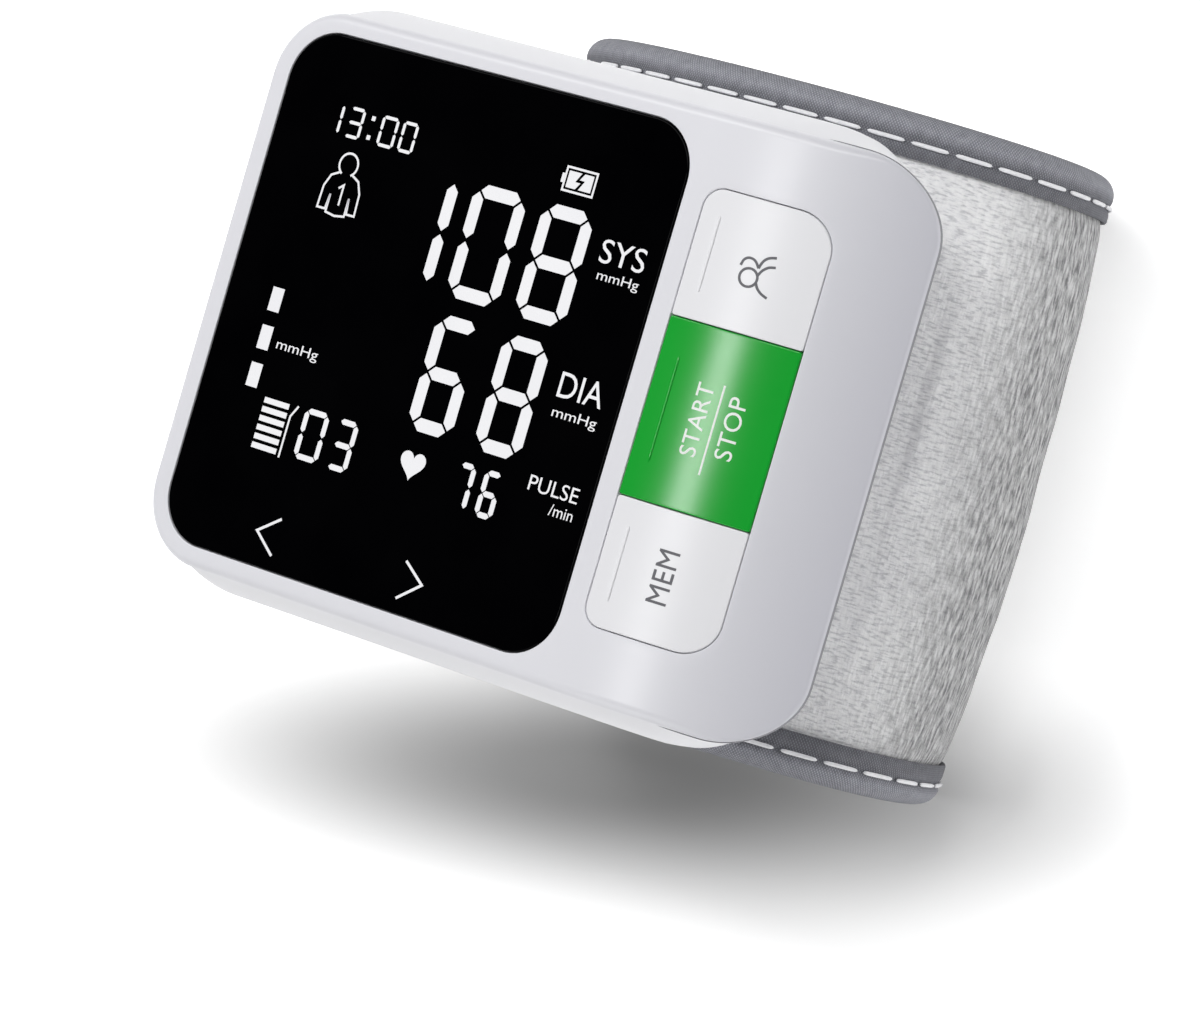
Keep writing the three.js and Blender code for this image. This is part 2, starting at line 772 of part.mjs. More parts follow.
function mainBoard() {
  const board = slab(outlineOf(boardLeft, boardRight, boardHeight, boardRadius), boardDepth, boardBack);
  const notches = screwPlaces.map(([x, y]) => {
    return post(bossRadius + bossNotchGap, x, y, boardDepth - cutOverrun, boardBack + cutOverrun);
  });
  return cutFrom(board, ...notches);
}
addPart(caseGroup, 'main_board', mainBoard(), finish(colours.board, 0.5));

const batteryOutline = outlineOf(batteryRight - batteryWidth, batteryRight, batteryHeight, batteryRadius);
const batteryBack = innerBack - seatGap;
const batterySolid = slab(batteryOutline, batteryBack - batteryThickness, batteryBack);
addPart(caseGroup, 'battery_cell', batterySolid, finish(colours.battery, 0.35, 0.8));
addPart(caseGroup, 'usb_socket', usbSocket(), finish(colours.steel, 0.3, 1));

// Pump

const pumpDepth = innerBack - seamGap - headSize / 2;
const motorTop = motorBottom + motorLength;
const headBottom = motorTop + seamGap;
const headTop = headBottom + headLength;

/** A round bar along Y in the case, between two places along it. */
function barAlong(radius, x, bottom, top, depth, sides = roundSides) {
  return rod(radius, top - bottom, 'y', x, (top + bottom) / 2, -depth, sides);
}

/** A round bar along X in the case, between two places across it. */
function barAcross(radius, left, right, y, depth, sides = roundSides) {
  return rod(radius, right - left, 'x', (left + right) / 2, y, -depth, sides);
}

function pumpMotor() {
  const can = barAlong(motorRadius, pumpX, motorBottom, motorTop, pumpDepth);
  const width = 2 * (motorRadius - motorFlatCut);
  const flats = block(width, motorLength, 2 * motorRadius, pumpX, (motorBottom + motorTop) / 2, -pumpDepth);
  const bore = barAlong(shaftBoreRadius, pumpX, motorTop - shaftBoreDepth, motorTop + cutOverrun, pumpDepth);
  return cutFrom(can.intersect(flats), bore);
}

function pumpHead() {
  const body = block(headSize, headLength, headSize, pumpX, (headBottom + headTop) / 2, -pumpDepth);
  const cavity = barAlong(headBoreRadius, pumpX, headBottom - cutOverrun, headBottom + headBoreDepth, pumpDepth);
  const nozzle = barAlong(nozzleRadius, pumpX, headTop - nozzleLength, headTop + nozzleLength, pumpDepth);
  return joined(cutFrom(body, cavity), nozzle);
}

function pumpEccentric() {
  const diskBottom = headBottom + seamGap;
  const diskTop = diskBottom + eccentricThickness;
  const shaftBottom = diskTop - shaftLength;
  const shaft = barAlong(shaftRadius, pumpX, shaftBottom, diskTop, pumpDepth);
  const disk = barAlong(eccentricRadius, pumpX, diskBottom, diskTop, pumpDepth + eccentricOffset);
  return joined(shaft, disk);
}

addPart(caseGroup, 'pump_motor', pumpMotor(), finish(colours.steel, 0.35, 1));
addPart(caseGroup, 'pump_head', pumpHead(), finish(colours.clear, 0.5));
addPart(caseGroup, 'pump_eccentric', pumpEccentric(), finish(colours.white, 0.4));

// Air path

const manifoldLeft = pumpX - manifoldWidth / 2;
const manifoldRight = pumpX + manifoldWidth / 2;
const manifoldBottom = manifoldY - manifoldHeight / 2;
const valveDepth = boardBack + seamGap + valveThickness / 2;
const flangeTopDepth = innerBack - 2 * seatGap - sealThickness - nippleFlangeThickness;
const manifoldBack = flangeTopDepth - manifoldSealGap;
const manifoldThickness = manifoldBack - manifoldDepth;

function airManifold() {
  const middleDepth = (manifoldDepth + manifoldBack) / 2;
  const body = block(manifoldWidth, manifoldHeight, manifoldThickness, pumpX, manifoldY, -middleDepth);
  const pumpPort = barAlong(nozzleRadius, pumpX, manifoldBottom - nozzleLength, manifoldY, pumpDepth);
  const sensorPort = barAcross(nozzleRadius, manifoldLeft - nozzleLength, pumpX, manifoldY, sensorDepth);
  const valvePort = barAcross(nozzleRadius, pumpX, valveLeft + valvePortDepth / 2, manifoldY, valveDepth);
  const cuffPort = post(nozzleRadius, pumpX, manifoldY, middleDepth, flangeTopDepth + nippleFlangeThickness);
  return joined(body, pumpPort, sensorPort, valvePort, cuffPort);
}

function exhaustValve() {
  const body = block(
    valveWidth, valveHeight, valveThickness, valveLeft + valveWidth / 2, manifoldY, -valveDepth,
  );
  const port = barAcross(
    valvePortRadius, valveLeft - cutOverrun, valveLeft + valvePortDepth, manifoldY, valveDepth,
  );
  const top = manifoldY + valveHeight / 2;
  const bore = barAlong(plungerBoreRadius, plungerX, top - plungerBoreDepth, top + cutOverrun, valveDepth);
  return cutFrom(body, port, bore);
}

const plungerX = valveLeft + valvePortDepth + (valveWidth - valvePortDepth) / 2;

function valvePlunger() {
  const top = manifoldY + valveHeight / 2;
  const bottom = top - plungerBoreDepth + plungerTravel + stopGap;
  return barAlong(plungerRadius, plungerX, bottom, top + plungerStand, valveDepth);
}

function pumpTube() {
  const bottom = headTop + seamGap;
  const top = manifoldBottom - seamGap;
  const outer = barAlong(tubeRadius, pumpX, bottom, top, pumpDepth, tubeSides);
  const bore = barAlong(tubeBoreRadius, pumpX, bottom - cutOverrun, top + cutOverrun, pumpDepth, tubeSides);
  return cutFrom(outer, bore);
}

const sensorRight = manifoldLeft - 2 * nozzleLength - sensorGap();

/** The space between the tips of two nozzles in one tube. */
function sensorGap() {
  return manifoldBottom - headTop - 2 * nozzleLength;
}

function sensorTube() {
  const left = sensorRight + seamGap;
  const right = manifoldLeft - seamGap;
  const outer = barAcross(tubeRadius, left, right, manifoldY, sensorDepth, tubeSides);
  const bore = barAcross(tubeBoreRadius, left - cutOverrun, right + cutOverrun, manifoldY, sensorDepth, tubeSides);
  return cutFrom(outer, bore);
}

function pressureSensor() {
  const top = boardBack + seatGap;
  const middleX = sensorRight - sensorSize / 2;
  const body = block(sensorSize, sensorSize, sensorThickness, middleX, manifoldY, -(top + sensorThickness / 2));
  const port = barAcross(nozzleRadius, middleX, sensorRight + nozzleLength, manifoldY, sensorDepth);
  return joined(body, port);
}

function airNipple() {
  const end = displayLevel - (loopLevel + loopHalfDepth + bladderOffset);
  const flange = post(nippleFlangeRadius, nippleX, nippleY, flangeTopDepth, flangeTopDepth + nippleFlangeThickness);
  const barrel = post(nippleRadius, nippleX, nippleY, flangeTopDepth, end);
  const bore = post(nippleBoreRadius, nippleX, nippleY, flangeTopDepth - cutOverrun, end + cutOverrun);
  return cutFrom(joined(flange, barrel), bore);
}

function nippleSeal() {
  const top = flangeTopDepth + nippleFlangeThickness + seatGap;
  const ring = post(sealOuterRadius, nippleX, nippleY, top, top + sealThickness);
  return cutFrom(ring, post(sealInnerRadius, nippleX, nippleY, top - cutOverrun, top + sealThickness + cutOverrun));
}

addPart(caseGroup, 'air_manifold', airManifold(), finish(colours.clear, 0.5));
addPart(caseGroup, 'pump_tube', pumpTube(), finish(colours.clear, 0.6));
addPart(caseGroup, 'sensor_tube', sensorTube(), finish(colours.clear, 0.6));
addPart(caseGroup, 'pressure_sensor', pressureSensor(), finish(colours.dark, 0.5));
addPart(caseGroup, 'exhaust_valve', exhaustValve(), finish(colours.steel, 0.35, 1));
addPart(caseGroup, 'valve_plunger', valvePlunger(), finish(colours.steel, 0.3, 1));
addPart(caseGroup, 'air_nipple', airNipple(), finish(colours.white, 0.5));
addPart(caseGroup, 'nipple_seal', nippleSeal(), finish(colours.dark, 0.8));

// Cuff

const cuffGroup = new THREE.Group();
cuffGroup.position.set(loopCentreX + caseShift, 0, 0);
group.add(cuffGroup);

const gapShare = sectionGap / 2 / (loopHalfDepth * Math.PI);
const fixedRun = loopStations(hingeShare + gapShare, 2 + closureShare - gapShare);
const strapRun = loopStations(closureShare + gapShare, hingeShare - gapShare);

/** The bar that leaves room for the air nipple through the cuff's outer layers. */
function nippleCut() {
  const middle = loopLevel + loopHalfDepth + bladderOffset;
  return rod(nippleRadius + seamGap, 2 * caseDepth, 'z', nippleX - loopCentreX, nippleY - caseDrop, middle + caseDepth);
}

/** A plate that fills the space between the flat back of the case and the round cuff. */
function cuffPlate() {
  const top = displayLevel - caseDepth - seamGap;
  const outline = outlineOf(-plateWidth / 2, plateWidth / 2, plateHeight, plateRadius);
  const blank = slab(outline, -top, -(top - plateDepth)).translate([0, -caseDrop, 0]);
  const saddle = sweep(layerSection(seamGap, innerOffset, cuffWidth), loopStations(-plateShare, plateShare));
  const studs = studPlaces().map(([x, y]) => {
    const low = top - seamGap;
    const high = displayLevel - innerBack - seatGap;
    return rod(studRadius, high - low, 'z', x - loopCentreX, y - caseDrop, (high + low) / 2);
  });
  return cutFrom(joined(cutFrom(blank, saddle), ...studs), nippleCut());
}

/** The binding's section run round part of the loop, on one edge of the cuff. */
const binding = (side, run) => sweep(bindingSection(side), run);

const outerSection = boundSection(0, -fabricThickness, edgeThin, 0);
const liningSection = boundSection(liningOffset, innerOffset, 0, edgeThin);
const stiffenerHeight = cuffWidth - 2 * stiffenerMargin;
const stiffenerSection = layerSection(stiffenerOffset, stiffenerOffset - stiffenerThickness, stiffenerHeight);
const bladderHeight = cuffWidth - 2 * bladderMargin;
const bladderSection = layerSection(bladderOffset, bladderOffset - bladderThickness, bladderHeight);
const foamSection = layerSection(stiffenerOffset, bladderOffset - bladderThickness, bladderHeight);

const fabric = () => finish(colours.fabric, 0.95);
const tape = () => finish(colours.grey, 0.9);
addPart(cuffGroup, 'cuff_plate', cuffPlate(), finish(colours.white, 0.5));
addPart(cuffGroup, 'cuff_outer', cutFrom(sweep(outerSection, fixedRun), nippleCut()), fabric());
addPart(cuffGroup, 'cuff_stiffener', cutFrom(sweep(stiffenerSection, fixedRun), nippleCut()), finish(colours.clear, 0.5));
const bladderRun = loopStations(bladderStartShare, bladderEndShare);
addPart(cuffGroup, 'air_bladder', sweep(bladderSection, bladderRun), finish(colours.bladder, 0.7));
addPart(cuffGroup, 'cuff_lining', sweep(liningSection, fixedRun), finish(colours.lining, 0.95));
addPart(cuffGroup, 'cuff_upper_binding', binding(1, fixedRun), tape());
addPart(cuffGroup, 'cuff_lower_binding', binding(-1, fixedRun), tape());

// Strap: the part of the cuff that swings open, and its closure

const patchOffset = seatGap + hookThickness;
const hookOffset = patchOffset + seamGap + hookThickness;
const tabInner = hookOffset + seatGap;
const tabOuter = tabInner + tabThickness;
const patchHeight = tabHeight - 2 * patchMargin;
const marginShare = patchMargin / (loopHalfDepth * Math.PI);

function closureTab() {
  const sewn = loopStations(closureShare + gapShare, tabStartShare);
  const free = loopStations(tabEndShare, tabStartShare);
  const pad = sweep(layerSection(tabOuter, seatGap, tabHeight), sewn);
  return joined(pad, sweep(layerSection(tabOuter, tabInner, tabHeight), free));
}

const patchRun = loopStations(tabEndShare, closureShare - gapShare);
const hookRun = loopStations(tabEndShare + marginShare, closureShare - gapShare);

addPart(cuffGroup, 'strap_outer', sweep(outerSection, strapRun), fabric());
addPart(cuffGroup, 'strap_foam', sweep(foamSection, strapRun), finish(colours.bladder, 0.9));
addPart(cuffGroup, 'strap_lining', sweep(liningSection, strapRun), finish(colours.lining, 0.95));
addPart(cuffGroup, 'strap_upper_binding', binding(1, strapRun), tape());
addPart(cuffGroup, 'strap_lower_binding', binding(-1, strapRun), tape());
addPart(cuffGroup, 'closure_tab', closureTab(), tape());
const hookSolid = sweep(layerSection(hookOffset, hookOffset - hookThickness, patchHeight), hookRun);
addPart(cuffGroup, 'hook_patch', hookSolid, finish(colours.dark, 0.9));
const loopSolid = sweep(layerSection(patchOffset, seatGap, patchHeight), patchRun);
addPart(cuffGroup, 'loop_patch', loopSolid, finish(colours.grey, 0.95));

export default group;
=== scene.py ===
"""Looks of a wrist blood pressure monitor: a display case on a padded cuff that opens.

Every class below is one sub-assembly. Sizes are in millimetres. The case has its own
place: x across the display, y towards its upper edge, z out of its face, with z = 0 on
the face. The cuff is measured along its loop, across it (y) and outwards (offset).
"""

import logging
import math
from dataclasses import dataclass, field
from enum import Enum
from typing import Callable, Sequence

import bmesh
import bpy
import numpy as np
from mathutils import Matrix, Vector, noise
from mathutils.geometry import delaunay_2d_cdt


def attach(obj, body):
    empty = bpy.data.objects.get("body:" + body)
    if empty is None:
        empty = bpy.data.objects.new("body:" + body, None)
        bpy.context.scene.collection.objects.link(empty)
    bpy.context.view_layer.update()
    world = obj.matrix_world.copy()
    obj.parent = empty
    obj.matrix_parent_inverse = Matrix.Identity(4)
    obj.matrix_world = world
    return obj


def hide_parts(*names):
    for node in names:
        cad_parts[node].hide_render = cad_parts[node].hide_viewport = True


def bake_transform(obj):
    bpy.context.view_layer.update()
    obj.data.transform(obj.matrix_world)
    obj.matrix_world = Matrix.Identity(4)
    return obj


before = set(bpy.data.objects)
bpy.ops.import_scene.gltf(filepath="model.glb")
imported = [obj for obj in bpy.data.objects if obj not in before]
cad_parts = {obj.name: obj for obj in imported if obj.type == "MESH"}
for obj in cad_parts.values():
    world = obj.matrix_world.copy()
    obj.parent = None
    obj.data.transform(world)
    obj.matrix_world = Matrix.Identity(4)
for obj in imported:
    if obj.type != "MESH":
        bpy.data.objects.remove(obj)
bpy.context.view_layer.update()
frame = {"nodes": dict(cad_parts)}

LOG = logging.getLogger("monitor")
MM = 0.001

Node = bpy.types.Node
Object = bpy.types.Object
Material = bpy.types.Material
Point = tuple[float, float]
Place = tuple[float, float, float]
Box = tuple[float, float, float, float]
Colour = tuple[float, float, float, float]
Level = Callable[[float, float], float]
Relief = Callable[[float, float, float], float]

WHITE: Colour = (1.0, 1.0, 1.0, 1.0)
QUARTER = math.pi / 2
# The part of 0 to 1 that a noise's values fill
PATTERN_RUN = (0.3, 0.7)


class Body(Enum):
    """The bodies that pieces ride on."""

    MONITOR = "monitor"
    USER_KEY = "user_key"
    START_STOP_KEY = "start_stop_key"
    MEMORY_KEY = "memory_key"
    STRAP = "strap"


def shade(red: int, green: int, blue: int) -> Colour:
    """Turns a screen colour into the linear one that shaders take.

    Args:
        red: Red, 0 to 255.
        green: Green, 0 to 255.
        blue: Blue, 0 to 255.

    Returns:
        The linear colour with full alpha.
    """
    def linear(value: float) -> float:
        value /= 255
        return value / 12.92 if value <= 0.04045 else ((value + 0.055) / 1.055) ** 2.4

    return (linear(red), linear(green), linear(blue), 1.0)


def grey(level: float) -> Colour:
    """Gives a linear grey, where 1 is white."""
    return (level, level, level, 1.0)


def held(value: float, low: float = 0.0) -> float:
    """Holds a share between a low end and 1."""
    return min(1.0, max(low, value))


def eased(value: float) -> float:
    """Turns a share into a soft step that is level at both ends."""
    share = held(value)
    return share * share * (3 - 2 * share)


# Finishes


class Surface:
    """A node material under construction."""

    def __init__(self, name: str) -> None:
        """Starts a material with one principled shader.

        Args:
            name: The material's name.
        """
        self.material = bpy.data.materials.new(name)
        self.material.use_nodes = True
        self.tree = self.material.node_tree
        self.tree.nodes.clear()
        self.output = self.tree.nodes.new("ShaderNodeOutputMaterial")
        self.shader = self.tree.nodes.new("ShaderNodeBsdfPrincipled")
        self.join(self.shader, "BSDF", self.output, "Surface")

    def node(self, kind: str, inputs: dict | None = None, **settings: object) -> Node:
        """Adds a node.

        Args:
            kind: The node's type.
            inputs: Values of its input sockets, by name.
            settings: Values of its own properties.

        Returns:
            The node.
        """
        made = self.tree.nodes.new(kind)
        for key, value in settings.items():
            setattr(made, key, value)
        for key, value in (inputs or {}).items():
            made.inputs[key].default_value = value
        return made

    def join(self, source: Node, output: str | int, target: Node, socket: str | int) -> None:
        """Links one node's output to another's input."""
        self.tree.links.new(source.outputs[output], target.inputs[socket])

    def set(self, **values: object) -> None:
        """Sets plain values on the shader's own sockets; underscores stand for spaces."""
        for key, value in values.items():
            self.shader.inputs[key.replace("_", " ")].default_value = value

    def coordinates(self, scale: Place, layer: str = "") -> Node:
        """Adds scaled coordinates.

        Args:
            scale: Cycles per metre along each direction.
            layer: The piece's own map; the object's coordinates where it is empty.

        Returns:
            The mapping node.
        """
        mapping = self.node("ShaderNodeMapping", {"Scale": scale})
        if layer:
            source = self.node("ShaderNodeUVMap", uv_map=layer)
            self.join(source, "UV", mapping, "Vector")
        else:
            source = self.node("ShaderNodeTexCoord")
            self.join(source, "Object", mapping, "Vector")
        return mapping

    def parts(self, scale: Place, layer: str = "") -> Node:
        """Adds scaled coordinates that are split into x, y and z."""
        split = self.node("ShaderNodeSeparateXYZ")
        self.join(self.coordinates(scale, layer), "Vector", split, "Vector")
        return split

    def noise(self, scale: Place, layer: str = "", detail: float = 3.0, roughness: float = 0.55) -> Node:
        """Adds a noise pattern at a scale of its own along each direction."""
        pattern = self.node("ShaderNodeTexNoise", {"Scale": 1.0, "Detail": detail, "Roughness": roughness})
        self.join(self.coordinates(scale, layer), "Vector", pattern, "Vector")
        return pattern

    def ramp(self, source: Node, output: str, stops: Sequence[tuple[float, Colour]]) -> Node:
        """Adds a colour ramp over another node's value."""
        ramp = self.node("ShaderNodeValToRGB")
        elements = ramp.color_ramp.elements
        while len(elements) < len(stops):
            elements.new(0.5)
        for element, (place, colour) in zip(elements, stops):
            element.position = place
            element.color = colour
        self.join(source, output, ramp, "Fac")
        return ramp

    def tinted(self, pattern: Node, deeper: Colour, colour: Colour) -> Node:
        """Runs from a deeper colour to the main one over a pattern."""
        return self.ramp(pattern, "Fac", list(zip(PATTERN_RUN, (deeper, colour))))

    def roughness_from(self, pattern: Node, middle: float, low: float, high: float) -> None:
        """Lets a pattern vary the shader's roughness between two shares of its middle."""
        start, end = PATTERN_RUN
        mapped = self.node("ShaderNodeMapRange", {
            "From Min": start, "From Max": end, "To Min": middle * low, "To Max": middle * high,
        })
        self.join(pattern, "Fac", mapped, "Value")
        self.join(mapped, 0, self.shader, "Roughness")

    def colour_output(self, source: Node) -> bpy.types.NodeSocket:
        """Gives a node's colour output, which is a mix's third and any other's first."""
        return source.outputs[2 if source.bl_idname == "ShaderNodeMix" else 0]

    def mix(self, kind: str, factor: float, first: Node, second: Node) -> Node:
        """Mixes two nodes' colours with a fixed factor."""
        mixed = self.node("ShaderNodeMix", data_type="RGBA", blend_type=kind)
        mixed.inputs[0].default_value = factor
        self.tree.links.new(self.colour_output(first), mixed.inputs[6])
        self.tree.links.new(self.colour_output(second), mixed.inputs[7])
        return mixed

    def colour_from(self, source: Node) -> None:
        """Gives the shader its colour from a node."""
        self.tree.links.new(self.colour_output(source), self.shader.inputs["Base Color"])

    def lift_for_camera(self, strength: float, where: Node) -> None:
        """Adds plain white to what the camera sees, directly or in gloss and glass.

        Args:
            strength: How much, where 1 is white.
            where: A node whose value, 0 to 1, says where it is added.
        """
        path = self.node("ShaderNodeLightPath")
        seen = path.outputs["Is Camera Ray"]
        for other in ("Is Glossy Ray", "Is Transmission Ray"):
            either = self.node("ShaderNodeMath", operation="MAXIMUM")
            self.tree.links.new(seen, either.inputs[0])
            self.join(path, other, either, 1)
            seen = either.outputs[0]
        amount = self.node("ShaderNodeMath", operation="MULTIPLY")
        self.tree.links.new(seen, amount.inputs[0])
        amount.inputs[1].default_value = strength
        placed = self.node("ShaderNodeMath", operation="MULTIPLY")
        self.join(amount, 0, placed, 0)
        self.join(where, 0, placed, 1)
        self.join(placed, 0, self.shader, "Emission Strength")
        self.set(Emission_Color=WHITE)

    def bump(self, heights: Sequence[tuple[Node, str, float]]) -> None:
        """Stacks bumps on the shader's normal.

        Args:
            heights: Nodes, their outputs and how high each stands, in metres.
        """
        previous: Node | None = None
        for source, output, distance in heights:
            bump = self.node("ShaderNodeBump", {"Strength": 1.0, "Distance": distance})
            self.join(source, output, bump, "Height")
            if previous is not None:
                self.join(previous, "Normal", bump, "Normal")
            previous = bump
        if previous is not None:
            self.join(previous, "Normal", self.shader, "Normal")


@dataclass(frozen=True)
class PlasticFinish:
    """Moulded plastic with faint mottling, a fine spark-eroded grain and, where asked, painted shade."""

    name: str
    colour: Colour
    deeper: Colour
    roughness: float = 0.3
    specular: float = 0.5
    mottle_scale: float = 55.0
    grain_scale: float = 4200.0
    grain_height: float = 0.0000008
    # Painted shade towards the right edge: the darker colour and its run across x, in metres
    painted_shade_tint: Colour | None = None
    painted_shade_run: tuple[float, float] = (0.027, 0.0415)

    def material(self) -> Material:
        """Builds the material."""
        surface = Surface(self.name)
        mottle = surface.noise((self.mottle_scale,) * 3)
        tint = surface.tinted(mottle, self.deeper, self.colour)
        # Painted shade: the colour darkens over a run of x towards the right edge, where the face curves away
        # from the light.
        if self.painted_shade_tint:
            start, end = self.painted_shade_run
            far = surface.node("ShaderNodeMapRange", {"From Min": start, "From Max": end})
            surface.join(surface.parts((1.0, 1.0, 1.0)), "X", far, "Value")
            tone = surface.ramp(far, "Result", [(0.0, WHITE), (1.0, self.painted_shade_tint)])
            tint = surface.mix("MULTIPLY", 1.0, tint, tone)
        surface.colour_from(tint)
        grain = surface.noise((self.grain_scale,) * 3, detail=2.0)
        wear = surface.noise((self.mottle_scale * 9,) * 3)
        surface.roughness_from(wear, self.roughness, 0.97, 1.03)
        surface.set(Specular_IOR_Level=self.specular)
        surface.bump([(grain, "Fac", self.grain_height)])
        return surface.material


@dataclass(frozen=True)
class MetalFinish:
    """Drawn or plated metal with fine brushing."""

    name: str
    colour: Colour
    deeper: Colour
    roughness: float = 0.32
    brushing: Place = (900.0, 60.0, 900.0)
    brushing_height: float = 0.000003

    def material(self) -> Material:
        """Builds the material."""
        surface = Surface(self.name)
        lines = surface.noise(self.brushing, detail=4.0)
        surface.colour_from(surface.tinted(lines, self.deeper, self.colour))
        surface.roughness_from(lines, self.roughness, 0.75, 1.25)
        surface.set(Metallic=1.0)
        surface.bump([(lines, "Fac", self.brushing_height)])
        return surface.material


@dataclass(frozen=True)
class GlassPanelFinish:
    """The black glossy window and the light symbols that show through it."""

    name: str
    colour: Colour
    deeper: Colour
    roughness: float = 0.05
    specular: float = 0.04
    glow: float = 0.0

    def material(self) -> Material:
        """Builds the material."""
        surface = Surface(self.name)
        mottle = surface.noise((80.0,) * 3)
        tint = surface.tinted(mottle, self.deeper, self.colour)
        surface.colour_from(tint)
        smears = surface.noise((140.0, 60.0, 140.0), detail=4.0)
        surface.roughness_from(smears, self.roughness, 0.7, 1.5)
        surface.set(Specular_IOR_Level=self.specular)
        if self.glow > 0:
            surface.join(tint, 0, surface.shader, "Emission Color")
            surface.set(Emission_Strength=self.glow)
        return surface.material


@dataclass(frozen=True)
class KnitFinish:
    """Heathered knit: short pale and dark streaks over fine loops.

    The streaks run round the cuff where it bends away from the display, and across it
    elsewhere. The streaks round it use darker copies of the colours: painted shade where the
    cuff turns away from the light. bend holds places along the cloth, in metres, and bend_mix
    how far the streaks across it show there.
    """

    name: str
    pale: Colour
    middle: Colour
    dark: Colour
    layer: str = "cloth"
    streak: Place = (2300.0, 480.0, 1.0)
    cross_streak: Place = (820.0, 3400.0, 1.0)
    loops: Place = (4200.0, 3400.0, 1.0)
    streak_run: tuple[float, float, float] = (0.36, 0.5, 0.62)
    bend: tuple[float, ...] = (0.0, 0.03, 0.048, 0.0575, 0.0705, 0.08, 0.1)
    bend_mix: tuple[float, ...] = (0.87, 1.0, 1.0, 0.88, 0.12, 0.12, 0.87)
    girth: float = 0.178
    painted_bend_shade: float = 0.42
    streak_height: float = 0.00022
    loop_height: float = 0.00006
    sheen: float = 0.03

    def material(self) -> Material:
        """Builds the material."""
        surface = Surface(self.name)
        streaks = surface.noise(self.streak, self.layer, detail=4.0, roughness=0.6)
        crossing = surface.noise(self.cross_streak, self.layer, detail=3.0)
        patches = surface.noise((160.0, 120.0, 1.0), self.layer, detail=2.0)
        loops = surface.noise(self.loops, self.layer, detail=2.0, roughness=0.5)
        # Painted shade: darkened copies of the colours for where the cuff bends away from the light.
        deepest_shaded, shaded, lit = (
            tuple(value * share for value in colour[:3]) + (1.0,)
            for colour, share in (
                (self.dark, self.painted_bend_shade ** 2), (self.middle, self.painted_bend_shade),
                (self.pale, 0.4 + 0.6 * self.painted_bend_shade),
            )
        )
        long_way_shaded, cross_way = (
            surface.ramp(pattern, "Fac", list(zip(self.streak_run, colours)))
            for pattern, colours in (
                (streaks, (deepest_shaded, shaded, lit)), (crossing, (self.dark, self.middle, self.pale)),
            )
        )
        # Where the cuff bends, the darkened streaks take over: painted shade.
        along = surface.parts((1 / self.girth, 1.0, 1.0), self.layer)
        stops = [(place / self.girth, grey(level)) for place, level in zip(self.bend, self.bend_mix)]
        bend = surface.ramp(along, "X", stops)
        bend.color_ramp.interpolation = "EASE"
        cloth = surface.mix("MIX", 0.5, long_way_shaded, cross_way)
        surface.join(bend, 0, cloth, 0)
        fade = surface.tinted(patches, (0.95, 0.95, 0.955, 1.0), grey(1.03))
        surface.colour_from(surface.mix("MULTIPLY", 1.0, cloth, fade))
        surface.set(
            Roughness=0.95, Specular_IOR_Level=0.15,
            Sheen_Weight=self.sheen, Sheen_Roughness=0.5,
        )
        surface.bump([
            (streaks, "Fac", self.streak_height),
            (crossing, "Fac", self.streak_height * 0.5),
            (loops, "Fac", self.loop_height),
        ])
        return surface.material


@dataclass(frozen=True)
class WebbingFinish:
    """Woven tape: two sets of fine ribs that cross at a slant.

    roll is the tape's width over its rounded edge, in metres, over which its tone turns: painted
    shade at both sides and a painted highlight along the bead's top.
    """

    name: str
    pale: Colour
    dark: Colour
    layer: str = "cloth"
    slant: float = 0.62
    ribs: float = 1500.0
    rib_height: float = 0.00005
    sheen: float = 0.2
    roll: float = 0.0

    def material(self) -> Material:
        """Builds the material."""
        surface = Surface(self.name)
        threads = []
        for angle in (self.slant, -self.slant):
            mapping = surface.coordinates((self.ribs / (2 * math.pi) * 3.1,) * 3, self.layer)
            mapping.inputs["Rotation"].default_value = (0.0, 0.0, angle)
            wave = surface.node("ShaderNodeTexWave", {
                "Scale": 1.0, "Distortion": 0.6, "Detail": 1.0, "Detail Scale": 2.0,
            })
            surface.join(mapping, "Vector", wave, "Vector")
            threads.append(wave)
        weave = surface.node("ShaderNodeMath", operation="MULTIPLY")
        surface.join(threads[0], "Fac", weave, 0)
        surface.join(threads[1], "Fac", weave, 1)
        fuzz = surface.noise((900.0, 900.0, 1.0), self.layer)
        blend = surface.node("ShaderNodeMath", operation="MULTIPLY_ADD")
        surface.join(fuzz, "Fac", blend, 0)
        blend.inputs[1].default_value = 0.6
        surface.join(weave, 0, blend, 2)
        tint = surface.ramp(blend, "Value", [(0.2, self.dark), (0.95, self.pale)])
        if self.roll > 0:
            # Painted shade and highlight over the rolled edge: darker near both sides, lighter along the
            # bead's top.
            tones = [(0.0, 0.6), (0.25, 0.72), (0.4, 0.75), (0.55, 1.2), (0.75, 1.05), (1.0, 0.62)]
            across = surface.parts((1.0, 1 / self.roll, 1.0), self.layer)
            tone = surface.ramp(across, "Y", [(place, grey(level)) for place, level in tones])
            tint = surface.mix("MULTIPLY", 1.0, tint, tone)
        surface.colour_from(tint)
        surface.set(Roughness=0.85, Specular_IOR_Level=0.2, Sheen_Weight=self.sheen, Sheen_Roughness=0.45)
        surface.bump([(weave, "Value", self.rib_height)])
        return surface.material


@dataclass(frozen=True)
class PileFinish:
    """Hook or loop tape, rubber, foam and other matt stuff with a coarse grain."""

    name: str
    pale: Colour
    dark: Colour
    scale: float = 2400.0
    height: float = 0.0001
    roughness: float = 0.95
    sheen: float = 0.0

    def material(self) -> Material:
        """Builds the material."""
        surface = Surface(self.name)
        cells = surface.node("ShaderNodeTexVoronoi", {"Scale": 1.0})
        surface.join(surface.coordinates((self.scale,) * 3), "Vector", cells, "Vector")
        grain = surface.noise((self.scale * 0.6,) * 3)
        surface.colour_from(surface.tinted(grain, self.dark, self.pale))
        surface.set(Roughness=self.roughness, Specular_IOR_Level=0.2, Sheen_Weight=self.sheen)
        surface.bump([(cells, "Distance", self.height)])
        return surface.material


